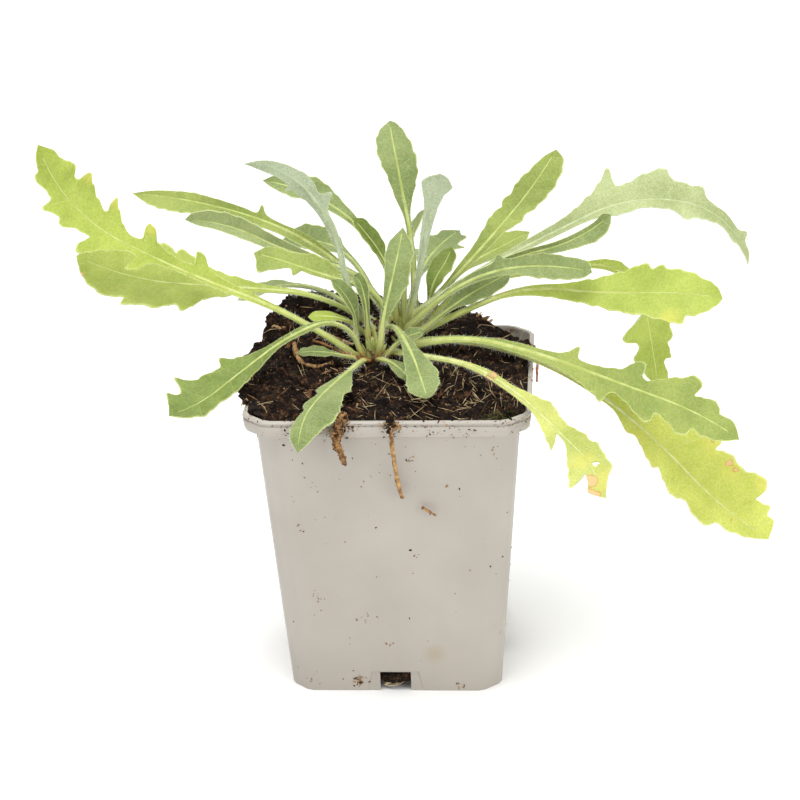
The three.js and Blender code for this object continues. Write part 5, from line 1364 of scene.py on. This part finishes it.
for values in strandValues:
    line = np.array(values["path"], float)
    steps = np.linspace(0, len(line) - 1, 60)
    path = smoothThrough(line, steps)
    radii = values["radius"] * (1 + values["lumps"] * np.convolve(rng.normal(0, 1, 64), np.ones(5) / 3, "valid"))
    radii = radii * np.linspace(1, values["taper"], 60)
    piece = addTube(values["name"] + "_dressed", path * mm + potAxis, radii * mm, 12, values["flat"])
    roughen(piece, "", [("CLOUDS", 1.6, 0.5), ("CLOUDS", 0.6, 0.2)])
    piece.data.materials.append(values["skin"])
    pickOnly(piece)
    bpy.ops.object.shade_smooth_by_angle(angle=math.radians(50))
    count, crumb, first, last = values["soiled"]
    at = ((first + rng.beta(1, 1.4, count) * (last - first)) * 59).astype(int)  # peat that clings to the strand
    dark = values["dirt"]
    strandDirt = [(dark, peat, 0.7), (0.35, brownPeat, 0.6), (0.45 * (1 - dark), barkSkin, 0.6), (0, paleBit, 0.5)]
    ways = rng.normal(0, 1, (len(at), 3))
    ways /= np.linalg.norm(ways, axis=1, keepdims=True)
    clinging = scatterCrumbs(path[at] + ways * (radii[at] * rng.uniform(0.8, 1.1, len(at)))[:, None], ways,
                             rng.uniform(0.15, crumb, len(at)), strandDirt, 0.1)
    piece = joinAll(values["name"] + "_dressed", [piece, *clinging])
    if values["name"].startswith("torn_stem"):
        tornStems.append(piece)
    else:
        mountOn(piece, "root", *([values["name"]] if values.get("replaced") else []))
mountOn(joinAll("torn_stems", tornStems), "root")
print("roots are made")


# Crown: the woody heart, with stubs of young and dead stalks packed round it

crownValues = dict(
    narrow=0.55, lowered=0.3, woodDark="#2f2115", woodLight="#665030",
    hearts=[dict(x=-7, y=4, z=102, stubs=13, spread=4, height=7),
            dict(x=2, y=16, z=103, stubs=15, spread=4.8, height=9)],
)


def makeCrown(values):
    crown = dressNode("crown")
    applyModifier(crown, "REMESH", mode="VOXEL", voxel_size=0.7 * mm)
    for vertex in crown.data.vertices:
        spot = (np.array(vertex.co) - potAxis) / mm
        heart = min(values["hearts"], key=lambda h: math.hypot(spot[0] - h["x"], spot[1] - h["y"]))
        shrink = values["narrow"] if spot[2] > heart["z"] - 2 else 1
        spot[0] = heart["x"] + (spot[0] - heart["x"]) * shrink
        spot[1] = heart["y"] + (spot[1] - heart["y"]) * shrink
        spot[2] = min(spot[2], heart["z"]) + max(spot[2] - heart["z"], 0) * values["lowered"]
        vertex.co = spot * mm + potAxis
    roughen(crown, "", [("CLOUDS", 1.5, 0.8)])
    crown.data.materials.append(drySkin("woody_crown", values["woodDark"], values["woodLight"], 450))
    stubs = []
    for heart in values["hearts"]:
        for k in range(heart["stubs"]):
            inner = 1 - k / heart["stubs"]
            angle = k * 2.4 + heart["x"]
            out = np.array([math.cos(angle), math.sin(angle), 0])
            foot = np.array([heart["x"], heart["y"], heart["z"] - 2.5]) + out * heart["spread"] * (1 - inner * 0.75)
            rise = heart["height"] * (0.35 + 0.65 * inner) * rng.uniform(0.85, 1.1)
            t = np.linspace(0, 1, 9)[:, None]
            path = foot + [0, 0, 1] * t * (rise + 2.5) + out * t ** 2 * (1 - inner) * 2.2
            path = path - out * np.sin(t * np.pi) * 0.5
            width = rng.uniform(0.55, 0.85) * np.array([1, 1, 1.05, 1.15, 1.2, 1.15, 1, 0.7, 0.2])
            place = np.stack([np.linspace(2, 14, 9), 0 * t[:, 0], 0 * t[:, 0] + 1], -1)
            up = np.tile(out, (9, 1))
            stub = addTube("stub", path * mm + potAxis, width * mm, 8, 0.5, up, leafPlace=place)
            stub.data.materials.append(skins["green" if k % 3 else "fresh"][2])
            stubs.append(stub)
    return joinAll("crown_dressed", [crown, *stubs])


crown = makeCrown(crownValues)
bpy.ops.object.shade_smooth_by_angle(angle=math.radians(50))
mountOn(crown, "crown", "crown")
print("crown is made")


print("all pieces are in place")
